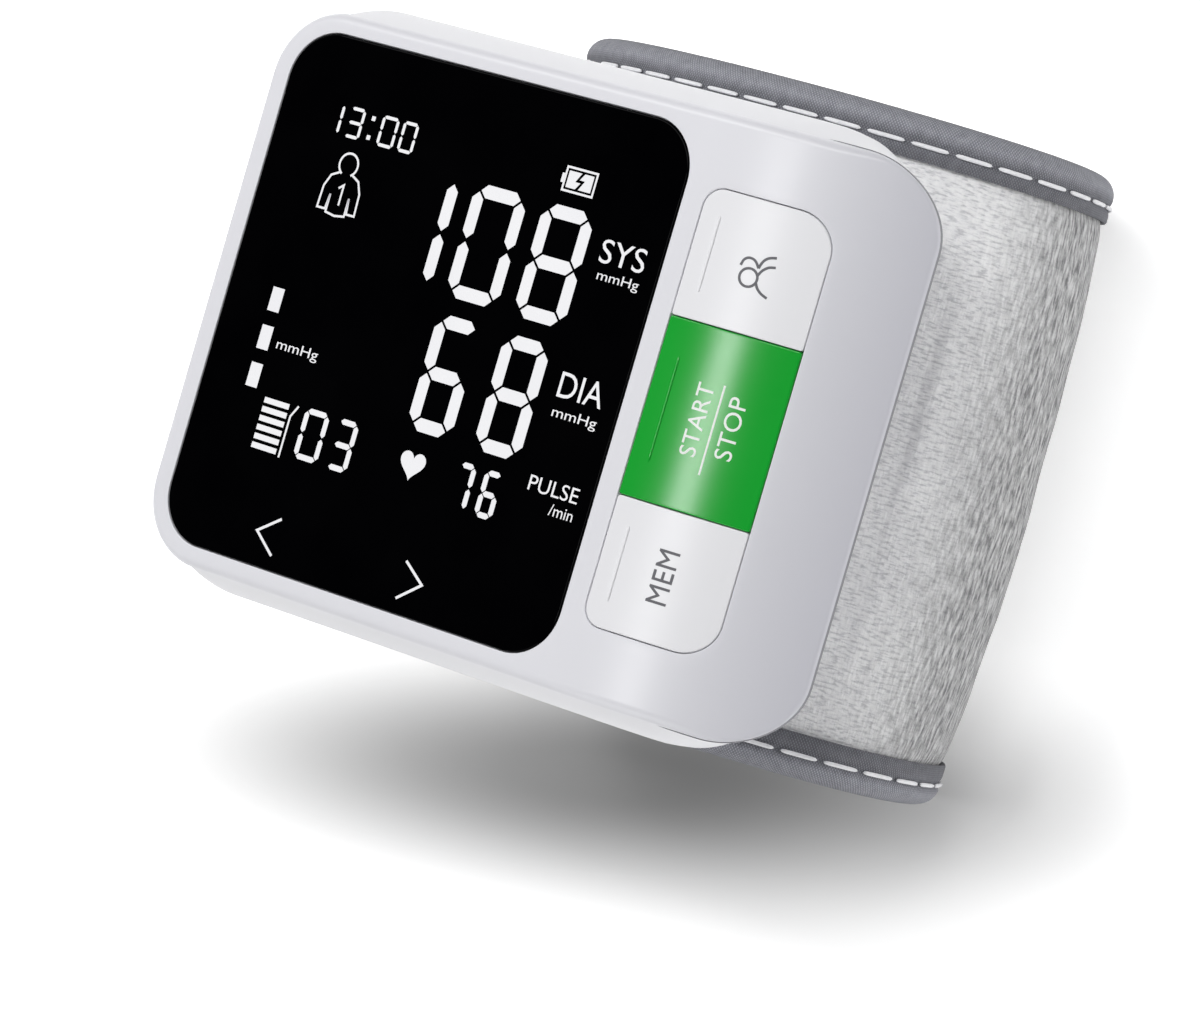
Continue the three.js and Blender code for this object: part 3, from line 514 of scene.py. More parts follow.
@dataclass(frozen=True)
class BoardFinish:
    """A printed board: green lacquer over copper tracks."""

    name: str = "board_lacquer"
    lacquer: Colour = shade(22, 92, 52)
    track: Colour = shade(46, 128, 76)

    def material(self) -> Material:
        """Builds the material."""
        surface = Surface(self.name)
        tracks = surface.node("ShaderNodeTexBrick", {
            "Scale": 1.0, "Mortar Size": 0.012, "Brick Width": 0.9, "Row Height": 0.16,
        })
        surface.join(surface.coordinates((130.0,) * 3), "Vector", tracks, "Vector")
        surface.colour_from(surface.ramp(tracks, "Fac", [(0.2, self.lacquer), (0.8, self.track)]))
        surface.set(Roughness=0.35, Coat_Weight=0.3, Coat_Roughness=0.2)
        surface.bump([(tracks, "Fac", 0.00002)])
        return surface.material


class Finishes:
    """Every finish of the object, built once and shared."""

    def __init__(self) -> None:
        """Builds the materials."""
        # The cover's white darkens towards its right edge: painted shade.
        self.case_white = PlasticFinish(
            "case_white_gloss", shade(228, 228, 233), shade(227, 227, 232),
            0.3, 0.42, painted_shade_tint=(0.74, 0.74, 0.765, 1.0),
        ).material()
        self.shell_white = PlasticFinish(
            "shell_white_satin", shade(232, 232, 236), shade(230, 230, 234), 0.36, 0.4,
        ).material()
        self.cap_white = PlasticFinish(
            "cap_white_gloss", shade(236, 236, 239), shade(235, 235, 238), 0.3, 0.4,
        ).material()
        self.cap_green = PlasticFinish(
            "cap_green_gloss", shade(16, 166, 48), shade(14, 162, 45), 0.21, 0.5,
        ).material()
        self.window_black = GlassPanelFinish(
            "window_black_glass", shade(3, 3, 4), shade(1, 1, 2),
        ).material()
        self.symbol_white = GlassPanelFinish(
            "symbol_white_light", shade(226, 226, 228), shade(220, 220, 223), 0.3, 0.12, 0.23,
        ).material()
        self.print_white = PlasticFinish(
            "print_white", shade(240, 244, 240), shade(232, 238, 232), 0.4,
        ).material()
        # Dark grey of the strip that stands for the shadow under the cover's right edge: painted shade.
        self.parting_shade_grey = PlasticFinish(
            "cover_seal_grey", shade(128, 128, 133), shade(120, 120, 125), 0.5,
        ).material()
        self.print_grey = PlasticFinish("print_grey", shade(92, 92, 98), shade(84, 84, 90), 0.45).material()
        # The knit and the lining darken where the cuff bends: painted shade.
        self.knit = KnitFinish(
            "cuff_heather_knit", shade(255, 255, 255), shade(248, 248, 249), shade(212, 212, 215),
        ).material()
        self.lining = KnitFinish(
            "cuff_soft_lining", shade(96, 97, 105), shade(80, 81, 89), shade(62, 63, 70),
            streak=(900.0, 900.0, 1.0), cross_streak=(1400.0, 1400.0, 1.0), streak_height=0.00004,
        ).material()
        # The binding darkens at both sides of its rolled edge and lightens along its top: painted shade and
        # highlight.
        self.binding = WebbingFinish(
            "binding_woven_tape", shade(164, 165, 172), shade(112, 113, 120),
            ribs=2300.0, rib_height=0.00006, sheen=0.1, roll=0.0066,
        ).material()
        self.webbing = WebbingFinish(
            "closure_webbing", shade(132, 132, 142), shade(92, 92, 100), ribs=1100.0,
        ).material()
        self.thread = PileFinish(
            "stitch_thread", shade(250, 250, 252), shade(238, 238, 242), 3500.0, 0.00003, 0.8, 0.2,
        ).material()
        self.pile = PileFinish(
            "closure_loop_pile", shade(120, 121, 128), shade(84, 85, 92), 2600.0, 0.0002, 0.98, 0.3,
        ).material()
        self.hooks = PileFinish(
            "closure_hook_tape", shade(62, 63, 68), shade(38, 39, 43), 1500.0, 0.0003, 0.7,
        ).material()
        self.foam = PileFinish(
            "strap_foam_cells", shade(70, 71, 76), shade(46, 47, 52), 1800.0, 0.0002,
        ).material()
        self.bladder = PileFinish(
            "bladder_film", shade(64, 65, 72), shade(44, 45, 50), 500.0, 0.00003, 0.45,
        ).material()
        self.tube = PileFinish(
            "tube_rubber", shade(214, 210, 200), shade(196, 192, 182), 900.0, 0.00002, 0.55,
        ).material()
        self.seal = PileFinish(
            "seal_rubber", shade(40, 40, 43), shade(26, 26, 28), 1500.0, 0.00003, 0.7,
        ).material()
        self.steel = MetalFinish("steel_plated", shade(196, 198, 202), shade(168, 170, 175)).material()
        self.motor_can = MetalFinish(
            "motor_can_steel", shade(184, 186, 190), shade(160, 162, 167), 0.36, (60.0, 900.0, 60.0),
        ).material()
        self.battery = MetalFinish(
            "battery_pouch_foil", shade(182, 186, 194), shade(156, 160, 168), 0.4, (240.0, 240.0, 240.0),
        ).material()
        self.board = BoardFinish().material()
        self.display = GlassPanelFinish(
            "display_layer_dark", shade(20, 23, 28), shade(14, 16, 20), 0.15, 0.5,
        ).material()
        self.dark_plastic = PlasticFinish(
            "dark_plastic", shade(48, 49, 54), shade(38, 39, 43), 0.42,
        ).material()
        self.pale_plastic = PlasticFinish(
            "pale_plastic", shade(214, 211, 202), shade(202, 199, 190), 0.48,
        ).material()


# Mesh work


@dataclass(frozen=True)
class Outline:
    """A rounded rectangle; its radii run from the lower right corner anticlockwise."""

    left: float
    right: float
    bottom: float
    top: float
    radii: tuple[float, float, float, float]

    def inset(self, distance: float, right: float | None = None) -> "Outline":
        """Moves the edges inwards.

        Args:
            distance: How far, or outwards where it is negative.
            right: How far for the right edge, where it differs.

        Returns:
            The moved outline.
        """
        side = distance if right is None else right
        radii = tuple(max(0.02, radius - distance) for radius in self.radii)
        return Outline(
            self.left + distance, self.right - side, self.bottom + distance, self.top - distance, radii
        )

    def points(self, corner: int = 18, across: int = 40, up: int = 24) -> list[Point]:
        """Lists the outline's points anticlockwise, as many at every inset.

        Args:
            corner: Steps round each corner.
            across: Steps along the lower and upper edges.
            up: Steps along the left and right edges.

        Returns:
            The points.
        """
        lower_right, upper_right, upper_left, lower_left = self.radii
        centres = [
            (self.right - lower_right, self.bottom + lower_right, lower_right, -1),
            (self.right - upper_right, self.top - upper_right, upper_right, 0),
            (self.left + upper_left, self.top - upper_left, upper_left, 1),
            (self.left + lower_left, self.bottom + lower_left, lower_left, 2),
        ]
        found: list[Point] = []
        for index, (x, y, radius, quarter) in enumerate(centres):
            for step in range(corner + 1):
                angle = (quarter + step / corner) * QUARTER
                found.append((x + radius * math.cos(angle), y + radius * math.sin(angle)))
            next_x, next_y, next_radius, next_quarter = centres[(index + 1) % 4]
            angle = next_quarter * QUARTER
            target = (next_x + next_radius * math.cos(angle), next_y + next_radius * math.sin(angle))
            start = found[-1]
            steps = up if index % 2 == 0 else across
            for step in range(1, steps):
                share = step / steps
                found.append(tuple(a + (b - a) * share for a, b in zip(start, target)))
        return found


def circle(x: float, y: float, radius: float, steps: int = 24) -> list[Point]:
    """Lists points round a circle, anticlockwise."""
    angles = np.linspace(0, 2 * math.pi, steps, endpoint=False)
    return [(x + radius * math.cos(angle), y + radius * math.sin(angle)) for angle in angles]


def rectangle(left: float, right: float, bottom: float, top: float) -> list[Point]:
    """Lists a rectangle's corners, anticlockwise."""
    return [(left, bottom), (right, bottom), (right, top), (left, top)]


def flat(x: float, y: float) -> float:
    """Gives the level of a flat surface."""
    return 0.0


def inside(points: np.ndarray, loop: Sequence[Point]) -> np.ndarray:
    """Tells which points lie inside a closed loop.

    Args:
        points: Points, one per row.
        loop: The loop's corners.

    Returns:
        True for each point inside.
    """
    found = np.zeros(len(points), bool)
    corners = np.asarray(loop, float)
    for (x1, y1), (x2, y2) in zip(corners, np.roll(corners, -1, axis=0)):
        if y1 == y2:
            continue
        crosses = (points[:, 1] > min(y1, y2)) & (points[:, 1] <= max(y1, y2))
        reach = x1 + (points[:, 1] - y1) / (y2 - y1) * (x2 - x1)
        found ^= crosses & (points[:, 0] < reach)
    return found


def in_region(points: np.ndarray, outer: Sequence[Point], holes: Sequence[Sequence[Point]]) -> np.ndarray:
    """Tells which points lie inside a loop and outside all its holes."""
    found = inside(points, outer)
    for hole in holes:
        found &= ~inside(points, hole)
    return found


def filled(
    outer: Sequence[Point], holes: Sequence[Sequence[Point]], pitch: float
) -> tuple[list[Point], list[tuple[int, ...]]]:
    """Triangulates a region with holes, with even points over it.

    Args:
        outer: The region's edge.
        holes: The edges of its holes.
        pitch: The spacing of the points inside.

    Returns:
        The points, and triangles that face up.
    """
    loops = [list(outer), *[list(hole) for hole in holes]]
    edge_points = np.array([point for loop in loops for point in loop], float)
    low, high = edge_points.min(0), edge_points.max(0)
    xs = np.arange(low[0] + pitch, high[0], pitch)
    ys = np.arange(low[1] + pitch, high[1], pitch)
    grid = np.array([(x, y) for x in xs for y in ys], float).reshape(-1, 2)
    if len(grid):
        grid = grid[in_region(grid, outer, holes)]
    if len(grid):
        gaps = np.sqrt(((grid[:, None, :] - edge_points[None, :, :]) ** 2).sum(2)).min(1)
        grid = grid[gaps > pitch * 0.55]
    edges: list[tuple[int, int]] = []
    start = 0
    for loop in loops:
        edges += [(start + index, start + (index + 1) % len(loop)) for index in range(len(loop))]
        start += len(loop)
    verts = [Vector((float(x), float(y))) for x, y in [*edge_points, *grid]]
    made, _, faces, *_ = delaunay_2d_cdt(verts, edges, [], 0, 1e-7)
    places = np.array([tuple(point) for point in made], float)
    middles = np.array([places[list(face)].mean(0) for face in faces])
    chosen = []
    for face, wanted in zip(faces, in_region(middles, outer, holes)):
        if not wanted:
            continue
        (ax, ay), (bx, by), (cx, cy) = places[list(face)]
        turn = (bx - ax) * (cy - ay) - (by - ay) * (cx - ax)
        chosen.append(tuple(face) if turn > 0 else tuple(reversed(face)))
    return [tuple(place) for place in places], chosen


class Skin:
    """Points and faces of one piece, in millimetres of its sub-assembly."""

    def __init__(self) -> None:
        """Starts an empty skin."""
        self.points: list[Place] = []
        self.faces: list[tuple[int, ...]] = []
        self.maps: list[Point] = []

    def add(self, places: Sequence[Place], marks: Sequence[Point] | None = None) -> int:
        """Adds points.

        Args:
            places: The points.
            marks: Each point's place on the cloth, in metres.

        Returns:
            The first one's number.
        """
        start = len(self.points)
        self.points.extend(places)
        self.maps.extend(marks if marks is not None else [(p[0] * MM, p[1] * MM) for p in places])
        return start

    def bands(
        self, rings: Sequence[Sequence[Place]], marks: Sequence[Sequence[Point]] | None = None
    ) -> None:
        """Joins closed rings of equal count with quads.

        Args:
            rings: The rings in order.
            marks: Each ring's places on the cloth, in metres.
        """
        count = len(rings[0])
        starts = [self.add(ring, marks[index] if marks else None) for index, ring in enumerate(rings)]
        for low, high in zip(starts, starts[1:]):
            for side in range(count):
                after = (side + 1) % count
                self.faces.append((low + side, low + after, high + after, high + side))

    def rod(self, rings: Sequence[Sequence[Place]]) -> None:
        """Joins rings, as bands does, and closes both ends."""
        count, start = len(rings[0]), len(self.points)
        self.bands(rings)
        last = len(self.points) - count
        self.faces.append(tuple(reversed(range(start, start + count))))
        self.faces.append(tuple(range(last, last + count)))

    def cover(
        self, points: Sequence[Point], faces: Sequence[tuple[int, ...]], level: Level, up: bool = True
    ) -> None:
        """Adds a filled region at the levels that a rule gives."""
        start = self.add([(x, y, level(x, y)) for x, y in points])
        for face in faces:
            numbers = [start + index for index in face]
            self.faces.append(tuple(numbers if up else reversed(numbers)))

    def prism(self, loop: Sequence[Point], low: float, high: float) -> None:
        """Adds a closed prism over a loop that runs anticlockwise."""
        self.rod([[(x, y, level) for x, y in loop] for level in (low, high)])

    def piece(
        self, name: str, shift: Place, sharp: float = 30.0, layer: str = "", outwards: bool = False
    ) -> Object:
        """Makes the piece, in metres at its place.

        Args:
            name: The piece's name.
            shift: What to add to each point, in millimetres.
            sharp: Edges that turn by more than this many degrees are crisp.
            layer: The name of its cloth map, where it has one.
            outwards: Whether to turn all faces outwards.

        Returns:
            The object.
        """
        mesh = bpy.data.meshes.new(name)
        moved = [tuple((value + extra) * MM for value, extra in zip(point, shift)) for point in self.points]
        mesh.from_pydata(moved, [], self.faces)
        if layer:
            uv = mesh.uv_layers.new(name=layer)
            for loop in mesh.loops:
                uv.data[loop.index].uv = self.maps[loop.vertex_index]
        made = placed(name, mesh)
        weld(made, sharp, outwards)
        return made


def placed(name: str, data: bpy.types.ID) -> Object:
    """Puts a new object with this data into the scene."""
    made = bpy.data.objects.new(name, data)
    bpy.context.scene.collection.objects.link(made)
    return made


def plain_mesh(piece: Object) -> bpy.types.Mesh:
    """Makes a plain mesh of what an object's modifiers or its lettering give."""
    graph = bpy.context.evaluated_depsgraph_get()
    return bpy.data.meshes.new_from_object(piece.evaluated_get(graph))


def weld(piece: Object, sharp: float, outwards: bool) -> None:
    """Merges doubled points and smooths a piece.

    Args:
        piece: The piece.
        sharp: Edges that turn by more than this many degrees are crisp.
        outwards: Whether to turn all faces outwards.
    """
    work = bmesh.new()
    work.from_mesh(piece.data)
    bmesh.ops.remove_doubles(work, verts=work.verts, dist=2e-6)
    if outwards:
        bmesh.ops.recalc_face_normals(work, faces=work.faces)
    for face in work.faces:
        face.smooth = True
    work.to_mesh(piece.data)
    work.free()
    piece.data.set_sharp_from_angle(angle=math.radians(sharp))
    piece.data.update()


def settle(
    piece: Object, material: Material, slot: str,
    body: Body | None = Body.MONITOR, stands_for: Sequence[str] = (),
) -> Object:
    """Dresses a finished piece and says what it rides on and stands for.

    Args:
        piece: The piece.
        material: Its material.
        slot: Not used.
        body: The body that it rides on; none where the cuff places the piece itself.
        stands_for: The CAD nodes that it replaces.

    Returns:
        The piece.
    """
    piece.data.materials.clear()
    piece.data.materials.append(material)
    if body is not None:
        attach(piece, body.value)
    if stands_for:
        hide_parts(*stands_for)
    LOG.info("%s: %d faces", piece.name, len(piece.data.polygons))
    return piece


def carved(base: Object, tools: Sequence[tuple[Object, str]]) -> None:
    """Cuts or joins solids into a piece.

    Args:
        base: The piece that is changed.
        tools: Solids with DIFFERENCE, UNION or INTERSECT; they are used up.
    """
    for tool, operation in tools:
        modifier = base.modifiers.new("carve", "BOOLEAN")
        modifier.object = tool
        modifier.operation = operation
        modifier.solver = "EXACT"
        mesh = plain_mesh(base)
        base.modifiers.clear()
        old = base.data
        base.data = mesh
        bpy.data.meshes.remove(old)
        bpy.data.objects.remove(tool)


# The case


@dataclass
class CaseShape:
    """The case's sizes that its pieces share."""

    shift: Place = (0.25, -1.7, 70.0)
    face: Outline = Outline(-41.5, 41.0, -31.2, 31.2, (8.2, 8.2, 8.2, 8.2))
    flat_end: float = 16.0
    arc_radius: float = 38.0
    thickness: float = 2.2
    edge_radius: float = 1.2
    right_radius: float = 0.3
    edge_land: float = 0.05
    undercut: float = 1.0
    depth: float = 22.0
    wall: float = 2.0
    seam: float = 0.14
    crisp_start: float = 29.5
    crisp_run: float = 9.0
    screw_places: tuple[Point, ...] = ((-34.6, 24.6), (-34.6, -24.6), (22.0, 26.2), (22.0, -26.2))
    window: Outline = Outline(-38.7, 15.3, -28.8, 28.8, (5.74, 5.74, 5.74, 5.74))
    strip: Outline = Outline(18.0, 32.5, -23.5, 23.5, (4.0, 4.0, 2.3, 2.3))

    def fall(self, x: float) -> float:
        """Says how far the face has fallen away at a place across it."""
        if x <= self.flat_end:
            return 0.0
        return self.arc_radius - math.sqrt(self.arc_radius ** 2 - (x - self.flat_end) ** 2)

    def edge_at(self, x: float) -> float:
        """Gives the edge's radius at a place across the face: it gets crisper towards the right."""
        share = eased((x - self.crisp_start) / self.crisp_run)
        return self.edge_radius + (self.right_radius - self.edge_radius) * share

    def edge_ring(self, inwards: float, downwards: float, extra: float = 0.0) -> list[Place]:
        """Lists a ring over the rounded edge.

        Args:
            inwards: How far inside the outline, as a share of the edge's radius.
            downwards: How far below the face, as a share of the edge's radius.
            extra: What to add inwards, in millimetres.

        Returns:
            The ring's points.
        """
        ring = []
        for (x, y), (inner_x, inner_y) in zip(self.face.points(), self.face.inset(1.0).points()):
            radius = self.edge_at(x)
            move = radius * inwards + extra
            at_x, at_y = x + (inner_x - x) * move, y + (inner_y - y) * move
            ring.append((at_x, at_y, -self.fall(at_x) - radius * downwards))
        return ring

    def level(self, depth: float = 0.0) -> Level:
        """Gives the rule for a surface at a depth below the face."""
        return lambda x, y: -self.fall(x) - depth

    def ring(self, points: Sequence[Point], depth: float) -> list[Place]:
        """Puts an outline's points at a depth below the face."""
        return [(x, y, -self.fall(x) - depth) for x, y in points]

    def add_plate(
        self, skin: Skin, points: Callable[[float], list[Point]], radius: float, depth: float, pitches: Point
    ) -> None:
        """Adds a plate that follows the face, with a rounded upper edge.

        Args:
            skin: What to add it to.
            points: Gives the plate's outline at an inset.
            radius: The edge's radius.
            depth: How deep its underside lies.
            pitches: The spacing of the points over its top and over its underside.
        """
        steps = 4
        rings = [self.ring(points(0.0), depth), self.ring(points(0.0), radius)]
        for step in range(1, steps + 1):
            angle = step / steps * QUARTER
            rings.append(self.ring(points(radius * (1 - math.cos(angle))), radius * (1 - math.sin(angle))))
        inner = points(radius + self.edge_land)
        rings.append(self.ring(inner, 0.0))
        skin.bands(rings)
        skin.cover(*filled(inner, [], pitches[0]), self.level())
        skin.cover(*filled(points(0.0), [], pitches[1]), self.level(depth), up=False)


@dataclass
class FrontCover:
    """The white cover with the window's pocket and the opening for the buttons."""

    shape: CaseShape
    pitch: float = 1.1
    under_pitch: float = 3.0
    crisp_angle: float = 38.0
    face_land: float = 0.12
    round_steps: int = 8
    nose_steps: int = 3
    rim_steps: int = 3
    pocket_gap: float = 0.1
    pocket_depth: float = 1.3
    ledge: float = 2.5
    rim_radius: float = 0.12
    lip_gap: float = 0.3
    lip_right: float = 5.2
    lip_depth: float = 3.1
    lip_thickness: float = 1.2
    # The strip under the cover's right edge stands for the shadow in the parting gap: painted shade
    shade_line_top: float = 0.05
    shade_line_height: float = 0.45
    shade_line_least: float = 0.05
    shade_line_start: float = 20.0
    shade_line_shown: float = 28.0
    shade_line_run: float = 10.0
    shade_line_proud: float = 0.12
    shade_line_flush: float = -0.04
    shade_line_depth: float = 0.6
    boss_radius: float = 2.0
    boss_depth: float = 10.4

    def edge_rings(self) -> list[list[Place]]:
        """Lists the rings round the cover's outer edge, from the face to its underside."""
        shape = self.shape
        rings = [shape.edge_ring(1.0, 0.0, self.face_land)]
        for step in range(self.round_steps + 1):
            angle = (1 - step / self.round_steps) * QUARTER
            rings.append(shape.edge_ring(1 - math.cos(angle), 1 - math.sin(angle)))
        starts = [shape.edge_at(x) for x, _ in shape.face.points()]
        for step in range(1, self.nose_steps + 1):
            share = step / self.nose_steps
            ring = []
            for (x, y), start in zip(shape.face.inset(0.0, shape.undercut * share).points(), starts):
                ring.append((x, y, -shape.fall(x) - start - (shape.thickness - start) * share))
            rings.append(ring)
        return rings

    def rim_rings(self, outline: Outline) -> list[list[Place]]:
        """Lists the rings over the rounded rim of an opening in the face."""
        rings = []
        for step in range(self.rim_steps + 1):
            angle = step / self.rim_steps * QUARTER
            inset, drop = self.rim_radius * (math.sin(angle) - 1), self.rim_radius * (1 - math.cos(angle))
            rings.append(self.shape.ring(outline.inset(inset).points(), drop))
        return rings

    def build(self, finishes: Finishes) -> Object:
        """Makes the cover."""
        shape = self.shape
        skin = Skin()
        pocket = shape.window.inset(-self.pocket_gap)
        opening = shape.window.inset(self.ledge)
        skin.bands(self.edge_rings()[::-1])
        top_holes = [pocket.inset(-self.rim_radius).points(), shape.strip.inset(-self.rim_radius).points()]
        face = [(x, y) for x, y, _ in shape.edge_ring(1.0, 0.0, self.face_land)]
        skin.cover(*filled(face, top_holes, self.pitch), shape.level())
        under = shape.face.inset(0.0, shape.undercut).points()
        under_holes = [opening.points(), shape.strip.points()]
        skin.cover(*filled(under, under_holes, self.under_pitch), shape.level(shape.thickness), up=False)
        skin.bands([
            *self.rim_rings(pocket), shape.ring(pocket.points(), self.pocket_depth),
            shape.ring(opening.points(), self.pocket_depth), shape.ring(opening.points(), shape.thickness),
        ])
        skin.bands([*self.rim_rings(shape.strip), shape.ring(shape.strip.points(), shape.thickness)])
        self.add_inner(skin)
        # Adds the dark strip under the cover's right edge: painted shade.
        self.build_shade_line(finishes)
        cover = skin.piece("face_cover", shape.shift, sharp=self.crisp_angle)
        return settle(cover, finishes.case_white, "case_white", stands_for=["front_cover"])

    def build_shade_line(self, finishes: Finishes) -> Object:
        """Makes the thin grey strip under the cover's edge at the right that stands for the shadow in the
        parting gap: painted shade.
        """
        shape = self.shape
        rings = []
        for low, shown in ((0.0, 1.0), (1.0, 1.0), (1.0, 0.0), (0.0, 0.0), (0.0, 1.0)):
            ring = []
            for (x, y), (inner_x, inner_y) in zip(shape.face.points(), shape.face.inset(1.0).points()):
                ease = held((x - self.shade_line_start) / self.shade_line_run)
                height = self.shade_line_height * held((x - self.shade_line_shown) / self.shade_line_run, self.shade_line_least)
                proud = self.shade_line_proud + (self.shade_line_flush - self.shade_line_proud) * max(0.0, x - inner_x)
                inwards = self.shade_line_depth - (self.shade_line_depth + proud) * shown * ease
                at_x, at_y = x + (inner_x - x) * inwards, y + (inner_y - y) * inwards
                ring.append((at_x, at_y, -shape.fall(x) - shape.edge_at(x) - self.shade_line_top - height * low))
            rings.append(ring)
        # A dark strip that stands for the shadow under the cover's edge: painted shade.
        skin = Skin()
        skin.bands(rings)
        seal = skin.piece("cover_seal", shape.shift, sharp=self.crisp_angle, outwards=True)
        return settle(seal, finishes.parting_shade_grey, "case_white")

    def add_inner(self, skin: Skin) -> None:
        """Adds the lip that locates the shell and the four screw bosses."""
        shape = self.shape
        lip = shape.face.inset(shape.wall + self.lip_gap, self.lip_right)
        start, end = shape.thickness / 2, self.lip_depth + shape.thickness / 2
        outer, inner = lip.points(), lip.inset(self.lip_thickness).points()
        around = ((outer, start), (inner, start), (inner, end), (outer, end), (outer, start))
        skin.bands([shape.ring(points, depth) for points, depth in around])
        for x, y in shape.screw_places:
            high = -shape.fall(x + self.boss_radius) - shape.thickness / 2
            skin.prism(circle(x, y, self.boss_radius), -self.boss_depth, high)


@dataclass
class RearShell:
    """The shell behind the cover: swollen sides, a round back edge and its openings."""

    shape: CaseShape
    swell: float = 2.1
    back_radius: float = 2.6
    left_taper: float = 0.8
    right_taper: float = 8.4
    swell_end: float = 0.8
    round_start: float = 0.72
    steps: int = 34
    turn_steps: int = 10
    fade_start: float = 24.5
    fade_run: float = 13.0
    soft_rim: Point = (0.1, 0.08)
    fill_pitch: float = 4.0
    tower_radius: float = 2.4
    tower_top: float = 10.8
    screw_radius: float = 1.15
    screw_top: float = 8.0
    head_radius: float = 1.8
    head_depth: float = 2.8
    stud_radius: float = 1.5
    nipple_radius: float = 2.3
    overrun: float = 2.0
    stud_places: tuple[Point, ...] = ((-9.2, -15.0), (-9.2, 15.0), (12.8, -15.0), (12.8, 15.0))
    nipple_place: Point = (9.0, 11.0)
    socket_depth: float = 11.3
    socket_reach: float = 4.8
    socket_radius: float = 1.9
    socket_run: Point = (-46.0, -37.0)

    def swell_at(self, share: float) -> float:
        """Says how far the sides swell at a share of the way from the rim to the back."""
        return self.swell * math.sin(math.pi * min(1.0, share / self.swell_end))

    def outline(self, share: float, inset: float) -> Outline:
        """Gives the outline at a share of the way from the rim to the back.

        Args:
            share: 0 at the rim, 1 at the back.
            inset: How far inside the outer surface.

        Returns:
            The outline.
        """
        rim = self.shape.face.inset(0.0, self.shape.undercut)
        turn = max(0.0, (share - self.round_start) / (1 - self.round_start))
        back_inset = self.back_radius * (1 - math.sqrt(max(0.0, 1 - turn ** 2)))
        swell = self.swell_at(share)
        drawn = inset + back_inset
        radii = tuple(radius - drawn for radius in self.shape.face.radii)
        return Outline(
            rim.left + self.left_taper * share + drawn, rim.right - self.right_taper * share - drawn,
            rim.bottom - swell + drawn, rim.top + swell - drawn, radii,
        )

    def shares(self) -> list[float]:
        """Lists the shares of the rings, closer together where the back turns."""
        even = [index / self.steps * self.round_start for index in range(self.steps)]
        turns = [math.sin(index / self.turn_steps * math.pi / 2) for index in range(self.turn_steps + 1)]
        return even + [self.round_start + (1 - self.round_start) * turn for turn in turns]

    def solid(self, name: str, inset: float, back: float, rim: float, above: float | None) -> Object:
        """Makes a closed body inside the shell's sides.

        Args:
            name: Its name.
            inset: How far inside the outer surface.
            back: The depth of its back.
            rim: The depth of its rim below the face.
            above: A flat height for its top, or None for a top that follows the face.

        Returns:
            The body.
        """
        skin = Skin()
        rings = []
        for share in self.shares()[::-1]:
            ring = []
            swell = self.swell_at(share)
            for x, y in self.outline(share, inset).points():
                y *= 1 - swell * eased((x - self.fade_start) / self.fade_run) / self.shape.face.top
                high = self.shape.fall(x) + rim
                ring.append((x, y, -(high * (1 - share) + back * share)))
            rings.append(ring)
        if above is None:
            top = self.outline(0.0, inset + self.soft_rim[0]).points()
            level = self.shape.level(rim - self.soft_rim[1])
        else:
            top = self.outline(0.0, inset).points()
            level = lambda x, y: above
        rings.append([(x, y, level(x, y)) for x, y in top])
        skin.bands(rings)
        skin.cover(*filled(top, [], self.fill_pitch), level)
        bottom = self.outline(1.0, inset).points()
        skin.cover(*filled(bottom, [], self.fill_pitch), lambda x, y: -back, up=False)
        return skin.piece(name, self.shape.shift, outwards=True)

    def bar(self, x: float, y: float, radius: float, top: float, bottom: float) -> Object:
        """Makes a round bar between two depths of the case."""
        skin = Skin()
        skin.prism(circle(x, y, radius, 40), -bottom, -top)
        return skin.piece("bar", self.shape.shift)

    def socket_cutter(self) -> Object:
        """Makes the bar with round sides that cuts the charging socket's opening."""
        loop = []
        reach, radius = self.socket_reach - self.socket_radius, self.socket_radius
        for side, start in ((1, -90), (-1, 90)):
            for step in range(13):
                angle = math.radians(start + step * 15)
                loop.append((side * reach + radius * math.cos(angle), radius * math.sin(angle)))
        skin = Skin()
        skin.rod([[(x, y, z - self.socket_depth) for y, z in loop] for x in self.socket_run])
        return skin.piece("socket_cutter", self.shape.shift, outwards=True)

    def build(self, finishes: Finishes) -> Object:
        """Makes the shell."""
        shape = self.shape
        rim = shape.thickness + shape.seam
        shell = self.solid("back_shell", 0.0, shape.depth, rim, None)
        inner, past = shape.depth - shape.wall, shape.depth + self.overrun
        head_top, hole_top = shape.depth - self.head_depth, inner - self.overrun
        half_wall = shape.wall / 2
        tools = [(self.solid("hollow", shape.wall, inner, rim, self.overrun), "DIFFERENCE")]
        for places, radius, top, bottom, operation in (
            (shape.screw_places, self.tower_radius, self.tower_top, inner + half_wall / 2, "UNION"),
            (shape.screw_places, self.screw_radius, self.screw_top, inner + half_wall, "DIFFERENCE"),
            (shape.screw_places, self.head_radius, head_top, past, "DIFFERENCE"),
            (self.stud_places, self.stud_radius, hole_top, past, "DIFFERENCE"),
            ([self.nipple_place], self.nipple_radius, hole_top, past, "DIFFERENCE"),
        ):
            tools += [(self.bar(x, y, radius, top, bottom), operation) for x, y in places]
        tools.append((self.socket_cutter(), "DIFFERENCE"))
        carved(shell, tools)
        weld(shell, 30.0, False)
        back = (shape.shift[2] - shape.depth) * MM
        for polygon in shell.data.polygons:
            if abs(polygon.center.z - back) < 1e-5 and abs(polygon.normal.z) > 0.999:
                polygon.use_smooth = False
        return settle(shell, finishes.shell_white, "shell_white", stands_for=["rear_shell"])


class Segment(Enum):
    """The seven bars of a digit."""

    TOP = "a"
    UPPER_RIGHT = "b"
    LOWER_RIGHT = "c"
    BOTTOM = "d"
    LOWER_LEFT = "e"
    UPPER_LEFT = "f"
    MIDDLE = "g"


DIGITS = {"0": "abcdef", "1": "bc", "3": "abcdg", "6": "acdefg", "7": "abc", "8": "abcdefg"}


